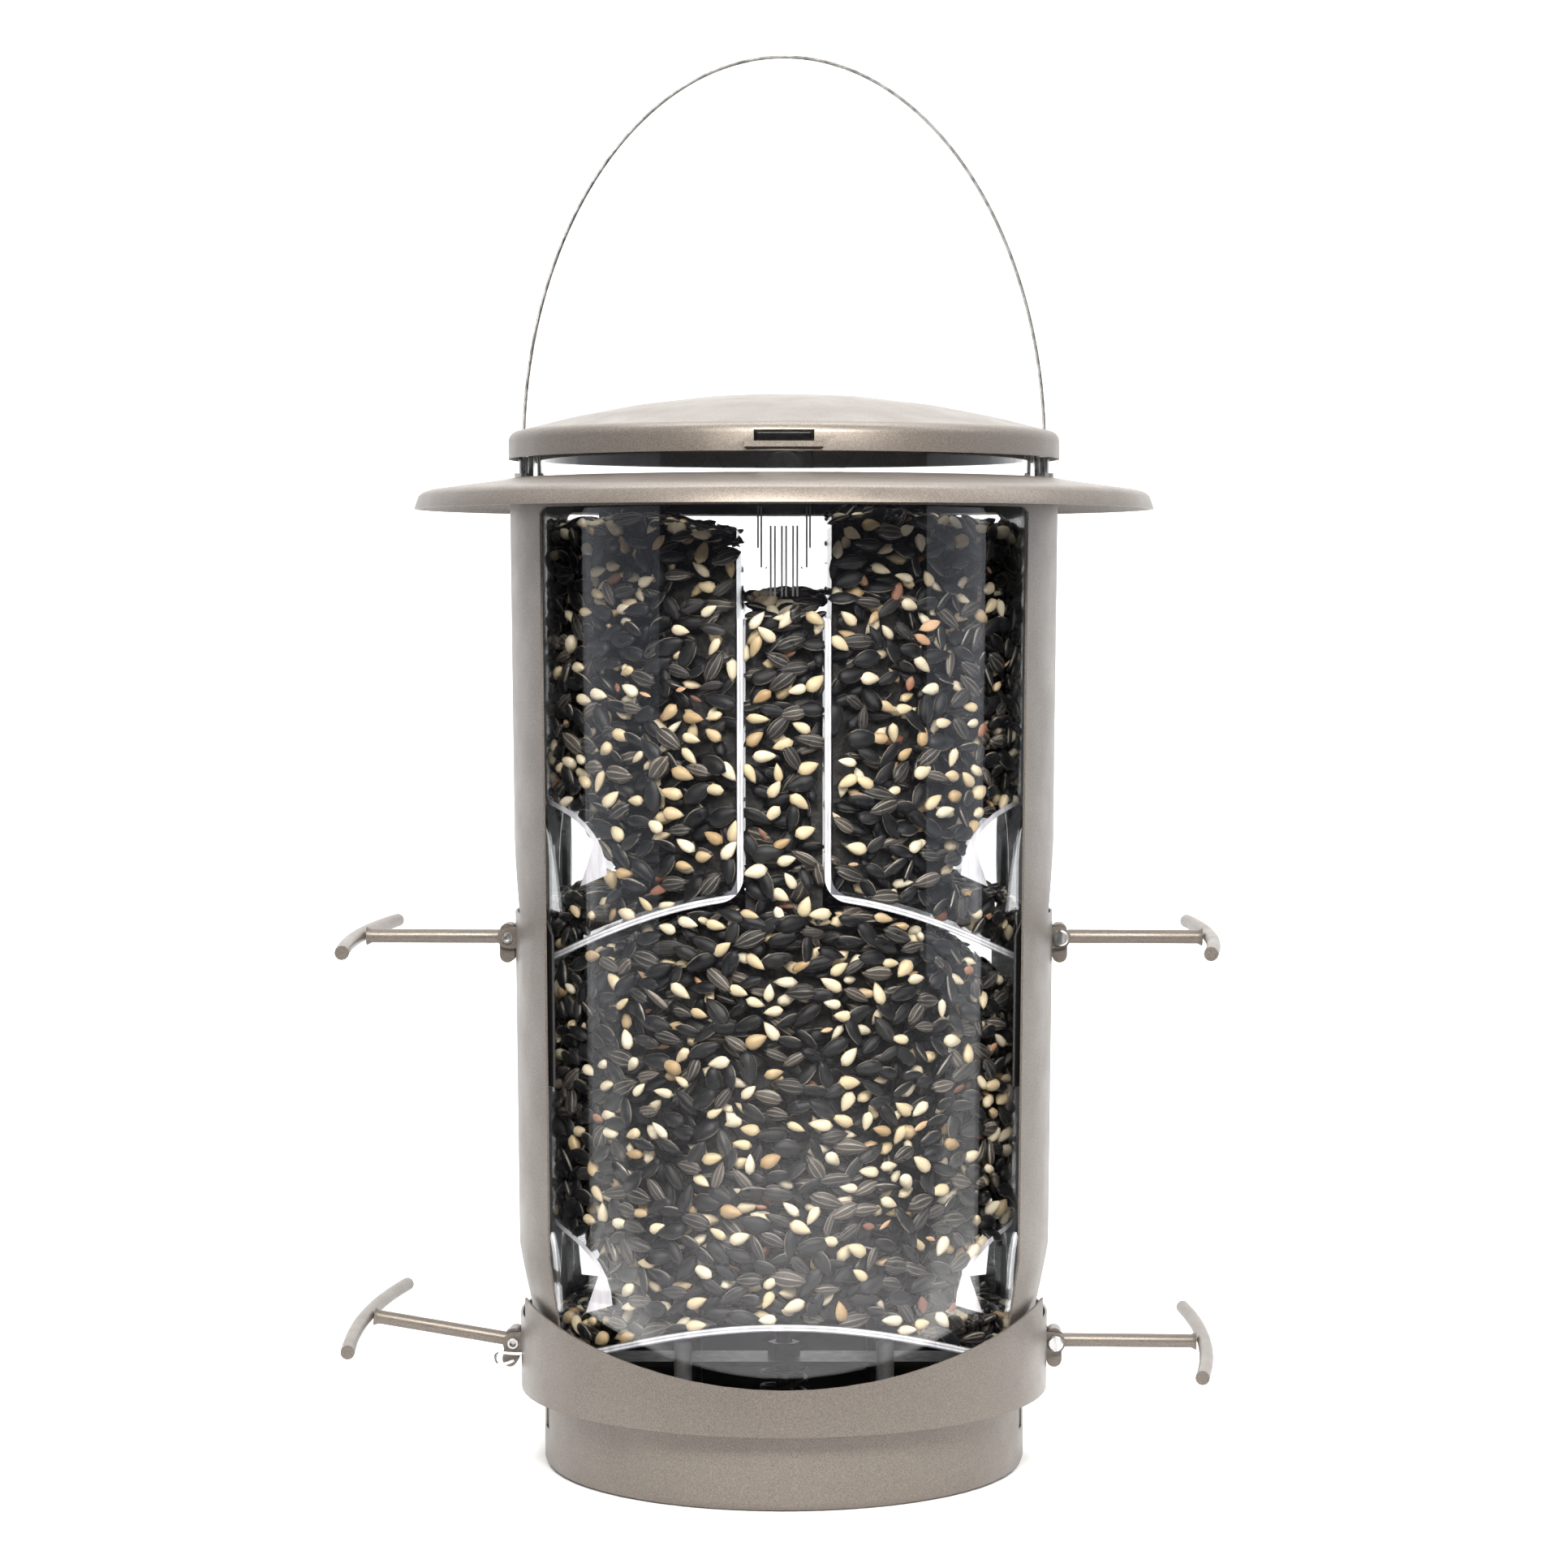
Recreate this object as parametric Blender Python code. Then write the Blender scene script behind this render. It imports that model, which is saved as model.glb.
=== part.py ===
"""Hanging hopper feeder with a weight-activated shroud that closes its four ports.

A clear hopper hangs from a wire cable. A steel shroud slides on it against a spring in the base,
and carries the brim and four folding perches. Dimensions are in millimetres and every mesh is
scaled to metres when it is made. +Z is up, the origin is the centre of the base cup's underside,
the perches stand out along X and the lid's latch faces -Y.
"""

import math

import bmesh
import bpy
from mathutils import Matrix

MM = 0.001
GAP = 0.3
ROUND = 60

# Heights of the main shells.
LID_APEX_Z = 379.1
LID_RIM_Z = 356.0
LID_R = 97.3
LID_SHEET = 1.0
DOME_DROP = 13.2
DOME_R = 93.4

# The shroud tube is a slight cone: outer radius at z is SHROUD_R0 + SHROUD_TAPER * z.
SHROUD_R0 = 93.4
SHROUD_TAPER = 0.0098
SHROUD_SHEET = 0.8
SHROUD_BOTTOM_Z = 27.2
SHROUD_TOP_Z = 348.2
RING_BOTTOM_Z = 338.4
STRAP_HALF_DEG = 30.3
COLLAR_LOW_Z = 43.1
COLLAR_RISE = 19.8
# Below TUCK_HIGH_Z the straps lean in, and their ends stand inside the collar.
TUCK_HIGH_Z = 79.0
TUCK_LOW_Z = 56.0
TUCK_IN = 3.6
STRAP_BOTTOM_Z = 49.5
BRIM_R = 130.4
BRIM_EDGE_Z = 338.4
LINER_HIGH = 58.5

# Hopper tube, drafted the other way round so that it clears the base cup.
HOPPER_R0 = 83.6
HOPPER_DRAFT = 0.0105
HOPPER_WALL = 2.2
HOPPER_BOTTOM_Z = 8.0
HOPPER_TOP_Z = 366.0

# Base cup.
CUP_R = 85.4
CUP_SHEET = 1.0
CUP_CORNER = 3.0
CUP_TOP_Z = 40.0

# Chute, baffles and floor.
CHUTE_HALF = 14.5
CHUTE_WALL = 2.3
CHUTE_TOP_Z = 349.0
BAFFLE_CREST_Z = 209.5
BAFFLE_FALL = 0.00416
FLOOR_CREST_Z = 63.4
FLOOR_FALL = 0.0035
FLOOR_THICK = 2.5

# Ports: the upper level is the reference and the lower one is the same shape further down.
PORT_LIP_Z = 196.7
PORT_APEX_Z = 225.7
PORT_HALF = 23.3
PORT_DROP = 147.8
LOWER_PORT_LIP_Z = 53.6
LOWER_PORT_APEX_Z = 80.5

# The awning over a port spans the hopper. Its crown is a quarter ellipse that ends in a wedge.
HOOD_X = 84.7
HOOD_Z = 213.2
HOOD_HALF_X = 25.2
HOOD_HALF_Z = 24.0
HOOD_WALL = 1.8
HOOD_LIP_X = 69.0
HOOD_LIP_Z = 208.4
HOOD_SHIFT = 1.5
RIM_HALF = 24.4
RIM_HIGH = 37.4
RIM_IN_X = 77.5

# Perches.
UPPER_PIVOT_Z = 187.0
LOWER_PIVOT_Z = 42.3
PIVOT_OUT = 2.7
PERCH_REACH = 53.5
ROD_R = 2.5
WELD = 1.8
BAR_HALF = 66.0
BAR_SAGITTA = 4.2
LUG_HALF_X = 2.7
LUG_HALF_Y = 4.6
LUG_UP = 5.0
LUG_DOWN = 9.0
EAR_IN = 5.5
EAR_OUT = 6.7
EAR_R = 3.7
BRACKET_SHEET = 1.0
BRACKET_DOWN = 13.0
BRACKET_UP = 7.3
BRACKET_HALF_Y = 10.0
PIN_R = 1.5
PIN_HEAD_R = 2.8
CLIP_Y = -8.3
CLIP_Z = 38.8
CLIP_WIRE_R = 0.55

# Lift bridge, its guide and the return spring.
BRIDGE_BOTTOM_Z = 34.7
BRIDGE_THICK = 1.8
PRONG_Y = 17.0
PRONG_HALF = 2.5
SLOT_BOTTOM_Z = 14.4
POST_R = 3.0

# Hanger.
CABLE_R = 0.65
CABLE_END_Z = 359.2
CABLE_HALF_SPAN = 92.1
CABLE_APEX_Z = 497.4
SLOT_IN_R = 78.5
SLOT_OUT_R = 95.4
HANGER_FACE_X = 88.3
HANGER_PLATE = 1.7
HANGER_HALF_Y = 6.0
HANGER_BOTTOM_Z = 326.0
HANGER_TOP_Z = 358.9
HANGER_SHELF_X = 94.4
HANGER_FOOT_X = 95.0
HANGER_FOOT_Z = 349.7
FERRULE_R = 1.7
FERRULE_LONG = 10.9

# Latch.
LATCH_PIVOT_Z = 317.0
LATCH_BACK_Y = -90.5
LATCH_FRONT_Y = -92.5
HOOK_FRONT_Y = -95.6
HOOK_HALF_X = 8.7
HOOK_TOP_Z = 362.0
BUTTON_R = 5.8
BUTTON_Z = 350.0
BUTTON_FRONT_Y = -95.2
GUIDE_R = 89.1
GUIDE_SHEET = 1.2
GUIDE_BOTTOM_Z = 306.0
GUIDE_BAND_Z = 340.0
GUIDE_STRUT_Z = 355.4
GUIDE_BAND_DEG = 15.0
GUIDE_STEM_DEG = 3.6
GUIDE_FOOT_DEG = 5.8
RIB_PITCH = 3.4
RIB_HALF = 0.7
NOTCH_HALF_X = 10.0
NOTCH_LOW_Z = 359.1
NOTCH_HIGH_Z = 362.9

# How each perch rests: lifted a little where it hangs on its clip, and turned by its pin's play.
LIFTS = {"upper_left": 0.0, "upper_right": 0.0, "lower_left": 9.0, "lower_right": 0.0}
YAWS = {"upper_left": -2.6, "upper_right": -2.3, "lower_left": -3.4, "lower_right": -2.9}
SCREW_Z = {"upper": 321.0, "lower": 171.0}

FRONT_DEG = -90.0
BACK_DEG = 90.0


def material(name, colour, roughness, metallic=0.0, alpha=1.0):
    """One Principled material; a clear plastic has an alpha under 1."""
    made = bpy.data.materials.get(name) or bpy.data.materials.new(name)
    made.use_nodes = True
    shader = made.node_tree.nodes["Principled BSDF"]
    shader.inputs["Base Color"].default_value = (*colour, 1.0)
    shader.inputs["Roughness"].default_value = roughness
    shader.inputs["Metallic"].default_value = metallic
    shader.inputs["Alpha"].default_value = alpha
    return made


def paint():
    return material("taupe_powder_coat", (0.36, 0.33, 0.29), 0.45, 0.6)


def clear():
    return material("clear_plastic", (0.85, 0.88, 0.92), 0.05, 0.0, 0.3)


def bright():
    return material("bright_steel", (0.7, 0.7, 0.7), 0.25, 1.0)


def remove_everything():
    for thing in list(bpy.data.objects):
        bpy.data.objects.remove(thing, do_unlink=True)


def empty(name, at, turn=(0.0, 0.0, 0.0)):
    """A joint's frame: its pieces are its children and its origin is on the joint's axis."""
    made = bpy.data.objects.new(name, None)
    bpy.context.scene.collection.objects.link(made)
    made.location = [c * MM for c in at]
    made.rotation_euler = turn
    return made


def add(name, bm, look, parent=None, at=(0.0, 0.0, 0.0), smooth_deg=35.0):
    """Turn a millimetre bmesh into a named object, smooth on its round faces."""
    bmesh.ops.recalc_face_normals(bm, faces=bm.faces)
    bmesh.ops.scale(bm, vec=(MM, MM, MM), verts=bm.verts)
    mesh = bpy.data.meshes.new(name)
    bm.to_mesh(mesh)
    bm.free()
    mesh.shade_smooth()
    mesh.set_sharp_from_angle(angle=math.radians(smooth_deg))
    mesh.materials.append(look)
    made = bpy.data.objects.new(name, mesh)
    bpy.context.scene.collection.objects.link(made)
    made.location = [c * MM for c in at]
    made.parent = parent
    return made


def combine(target, tool, operation):
    """Apply one exact Boolean to the target and drop the tool."""
    step = target.modifiers.new(operation, "BOOLEAN")
    step.operation = operation
    step.solver = "EXACT"
    step.object = tool
    bpy.context.view_layer.update()
    seen = target.evaluated_get(bpy.context.evaluated_depsgraph_get())
    mesh = bpy.data.meshes.new_from_object(seen)
    target.modifiers.remove(step)
    old = target.data
    target.data = mesh
    mesh.name = target.name
    bpy.data.meshes.remove(old)
    bpy.data.objects.remove(tool, do_unlink=True)


def revolve(profile, steps=ROUND):
    """Spin a profile of (radius, z) points; it is a closed loop unless it ends on the axis."""
    bm = bmesh.new()
    points = [bm.verts.new((r, 0.0, z)) for r, z in profile]
    edges = [bm.edges.new(pair) for pair in zip(points, points[1:])]
    if profile[0][0] > 0.0:
        edges.append(bm.edges.new((points[-1], points[0])))
    bmesh.ops.spin(
        bm,
        geom=points + edges,
        cent=(0.0, 0.0, 0.0),
        axis=(0.0, 0.0, 1.0),
        angle=math.tau,
        steps=steps,
    )
    bmesh.ops.remove_doubles(bm, verts=bm.verts, dist=0.001)
    return bm


def box(low, high):
    bm = bmesh.new()
    bmesh.ops.create_cube(bm, size=1.0)
    size = [b - a for a, b in zip(low, high)]
    middle = [(a + b) / 2.0 for a, b in zip(low, high)]
    bmesh.ops.scale(bm, vec=size, verts=bm.verts)
    bmesh.ops.translate(bm, vec=middle, verts=bm.verts)
    return bm


def rod(radius, start, length, axis="Z", sides=24, hole=0.0):
    """A cylinder, or a washer with a hole, from start along a main axis."""
    profile = [(radius, 0.0), (radius, length)]
    if hole > 0.0:
        bm = revolve([(hole, 0.0), *profile, (hole, length)], sides)
    else:
        bm = revolve([(0.0, 0.0), *profile, (0.0, length)], sides)
    turns = {
        "Z": Matrix.Identity(3),
        "X": Matrix.Rotation(math.pi / 2.0, 3, "Y"),
        "Y": Matrix.Rotation(-math.pi / 2.0, 3, "X"),
    }
    bmesh.ops.rotate(bm, matrix=turns[axis], verts=bm.verts)
    bmesh.ops.translate(bm, vec=start, verts=bm.verts)
    return bm


def prism(outline, plane, low, high):
    """Extrude a flat outline: plane XZ runs along Y, YZ along X and XY along Z."""
    place = {
        "XZ": lambda a, b, c: (a, c, b),
        "YZ": lambda a, b, c: (c, a, b),
        "XY": lambda a, b, c: (a, b, c),
    }[plane]
    bm = bmesh.new()
    face = bm.faces.new([bm.verts.new(place(a, b, low)) for a, b in outline])
    out = bmesh.ops.extrude_face_region(bm, geom=[face])["geom"]
    moved = [v for v in out if isinstance(v, bmesh.types.BMVert)]
    bmesh.ops.translate(bm, vec=place(0.0, 0.0, high - low), verts=moved)
    return bm


def polar(radius, degrees):
    turn = math.radians(degrees)
    return radius * math.cos(turn), radius * math.sin(turn)


def wrapped_sheet(outline, holes, radius_at, thick, step_deg, levels=()):
    """Bend a flat sheet of (azimuth in degrees, z) points round the Z axis and give it thickness.

    radius_at gives the outer radius at a height. The sheet is cut every step_deg, so that it
    follows the circle, and at the given levels, where its slope changes. A sheet that goes all
    the way round is joined where its ends meet.
    """
    bm = bmesh.new()
    edges = []
    for loop in [outline, *holes]:
        points = [bm.verts.new((u, z, 0.0)) for u, z in loop]
        edges += [bm.edges.new(pair) for pair in zip(points, points[1:] + points[:1])]
    bmesh.ops.triangle_fill(bm, edges=edges, use_beauty=True)
    first = min(u for u, _ in outline)
    last = max(u for u, _ in outline)
    for cut in range(1, math.ceil((last - first) / step_deg)):
        bmesh.ops.bisect_plane(
            bm,
            geom=bm.verts[:] + bm.edges[:] + bm.faces[:],
            plane_co=(first + cut * step_deg, 0.0, 0.0),
            plane_no=(1.0, 0.0, 0.0),
            dist=0.0001,
        )
    for level in levels:
        bmesh.ops.bisect_plane(
            bm,
            geom=bm.verts[:] + bm.edges[:] + bm.faces[:],
            plane_co=(0.0, level, 0.0),
            plane_no=(0.0, 1.0, 0.0),
            dist=0.0001,
        )
    for v in bm.verts:
        u, z = v.co.x, v.co.y
        v.co = (*polar(radius_at(z), u), z)
    bmesh.ops.remove_doubles(bm, verts=bm.verts, dist=0.001)
    bmesh.ops.triangulate(bm, faces=bm.faces)
    bm.verts.index_update()
    outer = [v.co.copy() for v in bm.verts]
    faces = [[v.index for v in f.verts] for f in bm.faces]
    rims = [[v.index for v in e.verts] for e in bm.edges if e.is_boundary]
    bm.free()
    sheet = bmesh.new()
    skin = [sheet.verts.new(co) for co in outer]
    back = []
    for co in outer:
        radius = math.hypot(co.x, co.y)
        shrink = (radius - thick) / radius
        back.append(sheet.verts.new((co.x * shrink, co.y * shrink, co.z)))
    for face in faces:
        sheet.faces.new([skin[i] for i in face])
        sheet.faces.new([back[i] for i in reversed(face)])
    for a, b in rims:
        sheet.faces.new([skin[a], skin[b], back[b], back[a]])
    return sheet


def slab(path, thick, half_depth_at):
    """A bent plate: path is its middle line in XZ and half_depth_at(x) is how far it runs in Y."""
    bm = bmesh.new()
    sections = []
    for i, (x, z) in enumerate(path):
        before = path[max(i - 1, 0)]
        after = path[min(i + 1, len(path) - 1)]
        along = math.hypot(after[0] - before[0], after[1] - before[1])
        nx = -(after[1] - before[1]) / along * thick / 2.0
        nz = (after[0] - before[0]) / along * thick / 2.0
        corners = []
        for side, way in ((1, 1), (1, -1), (-1, -1), (-1, 1)):
            px = x + side * nx
            pz = z + side * nz
            corners.append(bm.verts.new((px, way * half_depth_at(px, pz), pz)))
        sections.append(corners)
    for one, two in zip(sections, sections[1:]):
        for k in range(4):
            m = (k + 1) % 4
            bm.faces.new([one[k], one[m], two[m], two[k]])
    bm.faces.new(sections[0])
    bm.faces.new(list(reversed(sections[-1])))
    return bm


def wire(name, points, radius, look, resolution=2, parent=None):
    """A round wire along points, as a filled poly curve."""
    curve = bpy.data.curves.new(name, "CURVE")
    curve.dimensions = "3D"
    curve.bevel_depth = radius * MM
    curve.bevel_resolution = resolution
    curve.use_fill_caps = True
    curve.render_resolution_u = 0
    spline = curve.splines.new("POLY")
    spline.points.add(len(points) - 1)
    for place, point in zip(spline.points, points):
        place.co = (*[c * MM for c in point], 1.0)
    curve.materials.append(look)
    made = bpy.data.objects.new(name, curve)
    bpy.context.scene.collection.objects.link(made)
    made.parent = parent
    return made


def shroud_radius(z):
    return SHROUD_R0 + SHROUD_TAPER * z


def strap_radius(z):
    """The tube's outer radius, with the straps' lower ends leaning in."""
    lean = (TUCK_HIGH_Z - z) / (TUCK_HIGH_Z - TUCK_LOW_Z)
    return shroud_radius(z) - TUCK_IN * min(max(lean, 0.0), 1.0)


def hopper_radius(z):
    return HOPPER_R0 + HOPPER_DRAFT * z


def hopper_bore(z):
    return hopper_radius(z) - HOPPER_WALL


def degrees_for(chord, radius):
    return math.degrees(math.asin(chord / radius))


def rectangle(middle_deg, half_deg, low_z, high_z):
    return [
        (middle_deg - half_deg, low_z),
        (middle_deg + half_deg, low_z),
        (middle_deg + half_deg, high_z),
        (middle_deg - half_deg, high_z),
    ]


def arch_hole(middle_deg, lip_z, apex_z, half, radius, steps=12):
    """A parabolic arch with a flat lip, as points on the unrolled sheet."""
    points = []
    for i in range(steps + 1):
        side = 1.0 - 2.0 * i / steps
        turn = degrees_for(half * side, radius)
        points.append((middle_deg + turn, apex_z - (apex_z - lip_z) * side * side))
    return points


# ------------------------------------------------------------------ hopper


def base_cup(look):
    """A pressed cup with a rolled bottom corner and four slots for the bridge's prongs."""
    inner = CUP_R - CUP_SHEET
    outer_corner = []
    inner_corner = []
    for i in range(4):
        turn = math.radians(90.0 * i / 3)
        outer_corner.append(
            (
                CUP_R - CUP_CORNER + CUP_CORNER * math.sin(turn),
                CUP_CORNER - CUP_CORNER * math.cos(turn),
            )
        )
        small = CUP_CORNER - CUP_SHEET
        inner_corner.append(
            (
                inner - small + small * math.sin(turn),
                CUP_CORNER - small * math.cos(turn),
            )
        )
    profile = [(0.0, 0.0), *outer_corner, (CUP_R, CUP_TOP_Z), (inner, CUP_TOP_Z)]
    profile += [*reversed(inner_corner), (0.0, CUP_SHEET)]
    cup = add("base_cup", revolve(profile), look)
    for y in (-PRONG_Y, PRONG_Y):
        low = (-CUP_R - 5.0, y - PRONG_HALF - 0.6, SLOT_BOTTOM_Z)
        high = (CUP_R + 5.0, y + PRONG_HALF + 0.6, CUP_TOP_Z + 5.0)
        combine(cup, add("slot_tool", box(low, high), look), "DIFFERENCE")


def half_shell(name, middle_deg, look):
    """Half of the clear tube, with half of each port and notches for the prongs."""
    seam = degrees_for(GAP / 2.0, HOPPER_R0)
    low = middle_deg - 90.0 + seam
    high = middle_deg + 90.0 - seam
    notch_in = degrees_for(PRONG_Y - PRONG_HALF - 0.6, HOPPER_R0)
    notch_out = degrees_for(PRONG_Y + PRONG_HALF + 0.6, HOPPER_R0)
    notch_z = BRIDGE_BOTTOM_Z + BRIDGE_THICK + 0.5
    bottom = [
        (low, HOPPER_BOTTOM_Z),
        (middle_deg - 90.0 + notch_in, HOPPER_BOTTOM_Z),
        (middle_deg - 90.0 + notch_in, notch_z),
        (middle_deg - 90.0 + notch_out, notch_z),
        (middle_deg - 90.0 + notch_out, HOPPER_BOTTOM_Z),
        (middle_deg + 90.0 - notch_out, HOPPER_BOTTOM_Z),
        (middle_deg + 90.0 - notch_out, notch_z),
        (middle_deg + 90.0 - notch_in, notch_z),
        (middle_deg + 90.0 - notch_in, HOPPER_BOTTOM_Z),
        (high, HOPPER_BOTTOM_Z),
    ]
    right_side = []
    left_side = []
    for lip in (PORT_LIP_Z + 0.8, PORT_LIP_Z + 0.8 - PORT_DROP):
        edge = port_edge(lip)
        right_side += [(high - turn + seam, z) for turn, z in edge]
        left_side += [(low + turn - seam, z) for turn, z in edge]
    right_side.sort(key=lambda point: point[1])
    left_side.sort(key=lambda point: point[1])
    outline = [*bottom, *right_side, (high, HOPPER_TOP_Z), (low, HOPPER_TOP_Z)]
    outline += list(reversed(left_side))
    add(name, wrapped_sheet(outline, [], hopper_radius, HOPPER_WALL, 5.0), look)


def port_edge(lip):
    """Half of a port's outline in the tube, from the seam out and back: (degrees, z)."""
    half = degrees_for(PORT_HALF + 1.7, HOPPER_R0)
    seam = degrees_for(GAP / 2.0, HOPPER_R0)
    shoulder = lip + 18.0
    top = lip + 39.5
    points = [(seam, lip), (half, lip + 0.01), (half, shoulder)]
    for i in range(1, 6):
        turn = math.radians(90.0 * i / 6)
        points.append(
            (half * math.cos(turn), shoulder + (top - shoulder) * math.sin(turn))
        )
    points.append((seam, top))
    return points


def baffle_line(crest, fall, start, end, steps):
    points = []
    for i in range(steps + 1):
        x = start + (end - start) * i / steps
        points.append((x, crest - fall * x * x))
    return points


def inside_hopper(x, z):
    radius = hopper_bore(z) - 0.35
    return math.sqrt(max(radius * radius - x * x, 9.0))


def chute_divider(name, side, look):
    """One chute wall that bends outward into the arched baffle under a side bay."""
    bend = 8.0
    middle = BAFFLE_CREST_Z - CHUTE_WALL / 2.0
    start_x = CHUTE_HALF + bend
    start_z = middle - BAFFLE_FALL * start_x * start_x
    corner_z = middle - BAFFLE_FALL * CHUTE_HALF * CHUTE_HALF
    path = [(CHUTE_HALF, CHUTE_TOP_Z), (CHUTE_HALF, corner_z + bend)]
    for i in range(1, 6):
        t = i / 6
        x = (1 - t) ** 2 * CHUTE_HALF + 2 * t * (1 - t) * CHUTE_HALF + t * t * start_x
        z = (
            (1 - t) ** 2 * (corner_z + bend)
            + 2 * t * (1 - t) * corner_z
            + t * t * start_z
        )
        path.append((x, z))
    path += baffle_line(middle, BAFFLE_FALL, start_x, 81.3, 10)
    path = [(side * x, z) for x, z in path]
    add(name, slab(path, CHUTE_WALL, inside_hopper), look)


def floor_arch(look):
    middle = FLOOR_CREST_Z - FLOOR_THICK / 2.0
    path = baffle_line(middle, FLOOR_FALL, -79.8, 79.8, 24)
    add("floor_arch", slab(path, FLOOR_THICK, inside_hopper), look)


def hood_arc(shrink, last_deg):
    """The crown from the tube wall inward, in XZ."""
    points = []
    for i in range(9):
        turn = math.radians(last_deg * i / 8)
        x = HOOD_X - (HOOD_HALF_X - shrink) * math.sin(turn)
        points.append((x, HOOD_Z + (HOOD_HALF_Z - shrink) * math.cos(turn)))
    return points


def rim_outline(half, low, high):
    """The arch of the collar round a port, in YZ."""
    shoulder = low + 17.0
    points = [(-half, low), (half, low), (half, shoulder)]
    for i in range(1, 12):
        turn = math.radians(180.0 * i / 12)
        points.append(
            (half * math.cos(turn), shoulder + (high - shoulder) * math.sin(turn))
        )
    points.append((-half, shoulder))
    return points


def port_hood(name, side, lower, look):
    """A clear awning across the tube above a port and the collar that reaches out to the strap."""
    drop = PORT_DROP if lower else 0.0
    shift = HOOD_SHIFT if lower else 0.0
    far_x = 99.0
    below = HOOD_LIP_Z - 17.0
    nose = (HOOD_LIP_X, HOOD_LIP_Z)
    outer = [*hood_arc(0.0, 90.0), nose, (HOOD_X, HOOD_LIP_Z)]
    crown = hood_arc(HOOD_WALL, 62.0)
    inner = [(far_x, crown[0][1]), *crown, nose, (HOOD_LIP_X, below), (far_x, below)]
    outer = [(x - shift, z - drop) for x, z in outer]
    inner = [(x - shift, z - drop) for x, z in inner]
    hood = add(name, prism(outer, "XZ", -65.0, 65.0), look)
    tool = add("hood_tool", prism(inner, "XZ", -70.0, 70.0), look)
    combine(hood, tool, "DIFFERENCE")
    bore = hopper_bore(PORT_LIP_Z - drop) - GAP
    tool = add("hood_tool", rod(bore, (0.0, 0.0, 0.0), 300.0, sides=ROUND), look)
    combine(hood, tool, "INTERSECT")
    low = PORT_LIP_Z + 1.6 - drop
    high = low + RIM_HIGH
    rim = add("rim", prism(rim_outline(RIM_HALF, low, high), "YZ", RIM_IN_X, far_x), look)
    hole = rim_outline(RIM_HALF - HOOD_WALL, low + HOOD_WALL, high - HOOD_WALL)
    tool = add("rim_tool", prism(hole, "YZ", RIM_IN_X - 5.0, far_x + 5.0), look)
    combine(rim, tool, "DIFFERENCE")
    reach = strap_radius(PORT_LIP_Z - drop) - SHROUD_SHEET - 1.0
    tool = add("rim_tool", rod(reach, (0.0, 0.0, 0.0), 300.0, sides=ROUND), look)
    combine(rim, tool, "INTERSECT")
    combine(hood, rim, "UNION")
    if side < 0:
        hood.data.transform(Matrix.Rotation(math.pi, 4, "Z"))


def floor_post(name, x, y, look):
    top = FLOOR_CREST_Z - FLOOR_FALL * (abs(x) + POST_R) ** 2 - FLOOR_THICK - 1.0
    add(name, rod(POST_R, (x, y, CUP_SHEET + GAP), top - CUP_SHEET - GAP), look)


def shell_screw(name, x, z, look):
    """A pan-head screw along Y that draws the two half shells together."""
    profile = [(0.0, -15.5), (2.4, -15.5), (3.3, -14.6), (3.3, -13.0), (1.5, -13.0)]
    profile += [(1.5, 13.0), (0.0, 13.0)]
    bm = revolve(profile, 14)
    bmesh.ops.rotate(bm, matrix=Matrix.Rotation(-math.pi / 2.0, 3, "X"), verts=bm.verts)
    bmesh.ops.translate(bm, vec=(x, 0.0, z), verts=bm.verts)
    add(name, bm, look)


def guide_post(look):
    foot = CUP_SHEET + GAP
    profile = [(0.0, foot), (6.0, foot), (6.0, foot + 1.5), (POST_R, foot + 1.5)]
    profile += [(POST_R, 55.0), (0.0, 55.0)]
    add("guide_post", revolve(profile, 24), look)


def stop_nut(look):
    bottom = BRIDGE_BOTTOM_Z + BRIDGE_THICK + GAP
    hexagon = [polar(5.8, 60.0 * i) for i in range(6)]
    nut = add("stop_nut", prism(hexagon, "XY", bottom, bottom + 5.0), look)
    tool = add("nut_tool", rod(POST_R + GAP, (0.0, 0.0, bottom - 1.0), 8.0), look)
    combine(nut, tool, "DIFFERENCE")


def return_spring(look):
    """A compression coil round the guide post, between the cup and the bridge."""
    turns = 6
    per_turn = 12
    radius = 8.0
    wire_r = 0.8
    low = CUP_SHEET + wire_r + GAP + 0.1
    high = BRIDGE_BOTTOM_Z - wire_r - GAP
    points = []
    for i in range(turns * per_turn + 1):
        part = i / (turns * per_turn)
        x, y = polar(radius, 360.0 * turns * part)
        points.append((x, y, low + (high - low) * part))
    wire("return_spring", points, wire_r, look, resolution=1)


def cable_points(count):
    """Half an ellipse from one ferrule over the apex to the other."""
    rise = CABLE_APEX_Z - CABLE_END_Z
    points = []
    for i in range(count):
        turn = math.pi * i / (count - 1)
        x = -CABLE_HALF_SPAN * math.cos(turn)
        points.append((x, 0.0, CABLE_END_Z + rise * math.sin(turn)))
    return points


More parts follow.
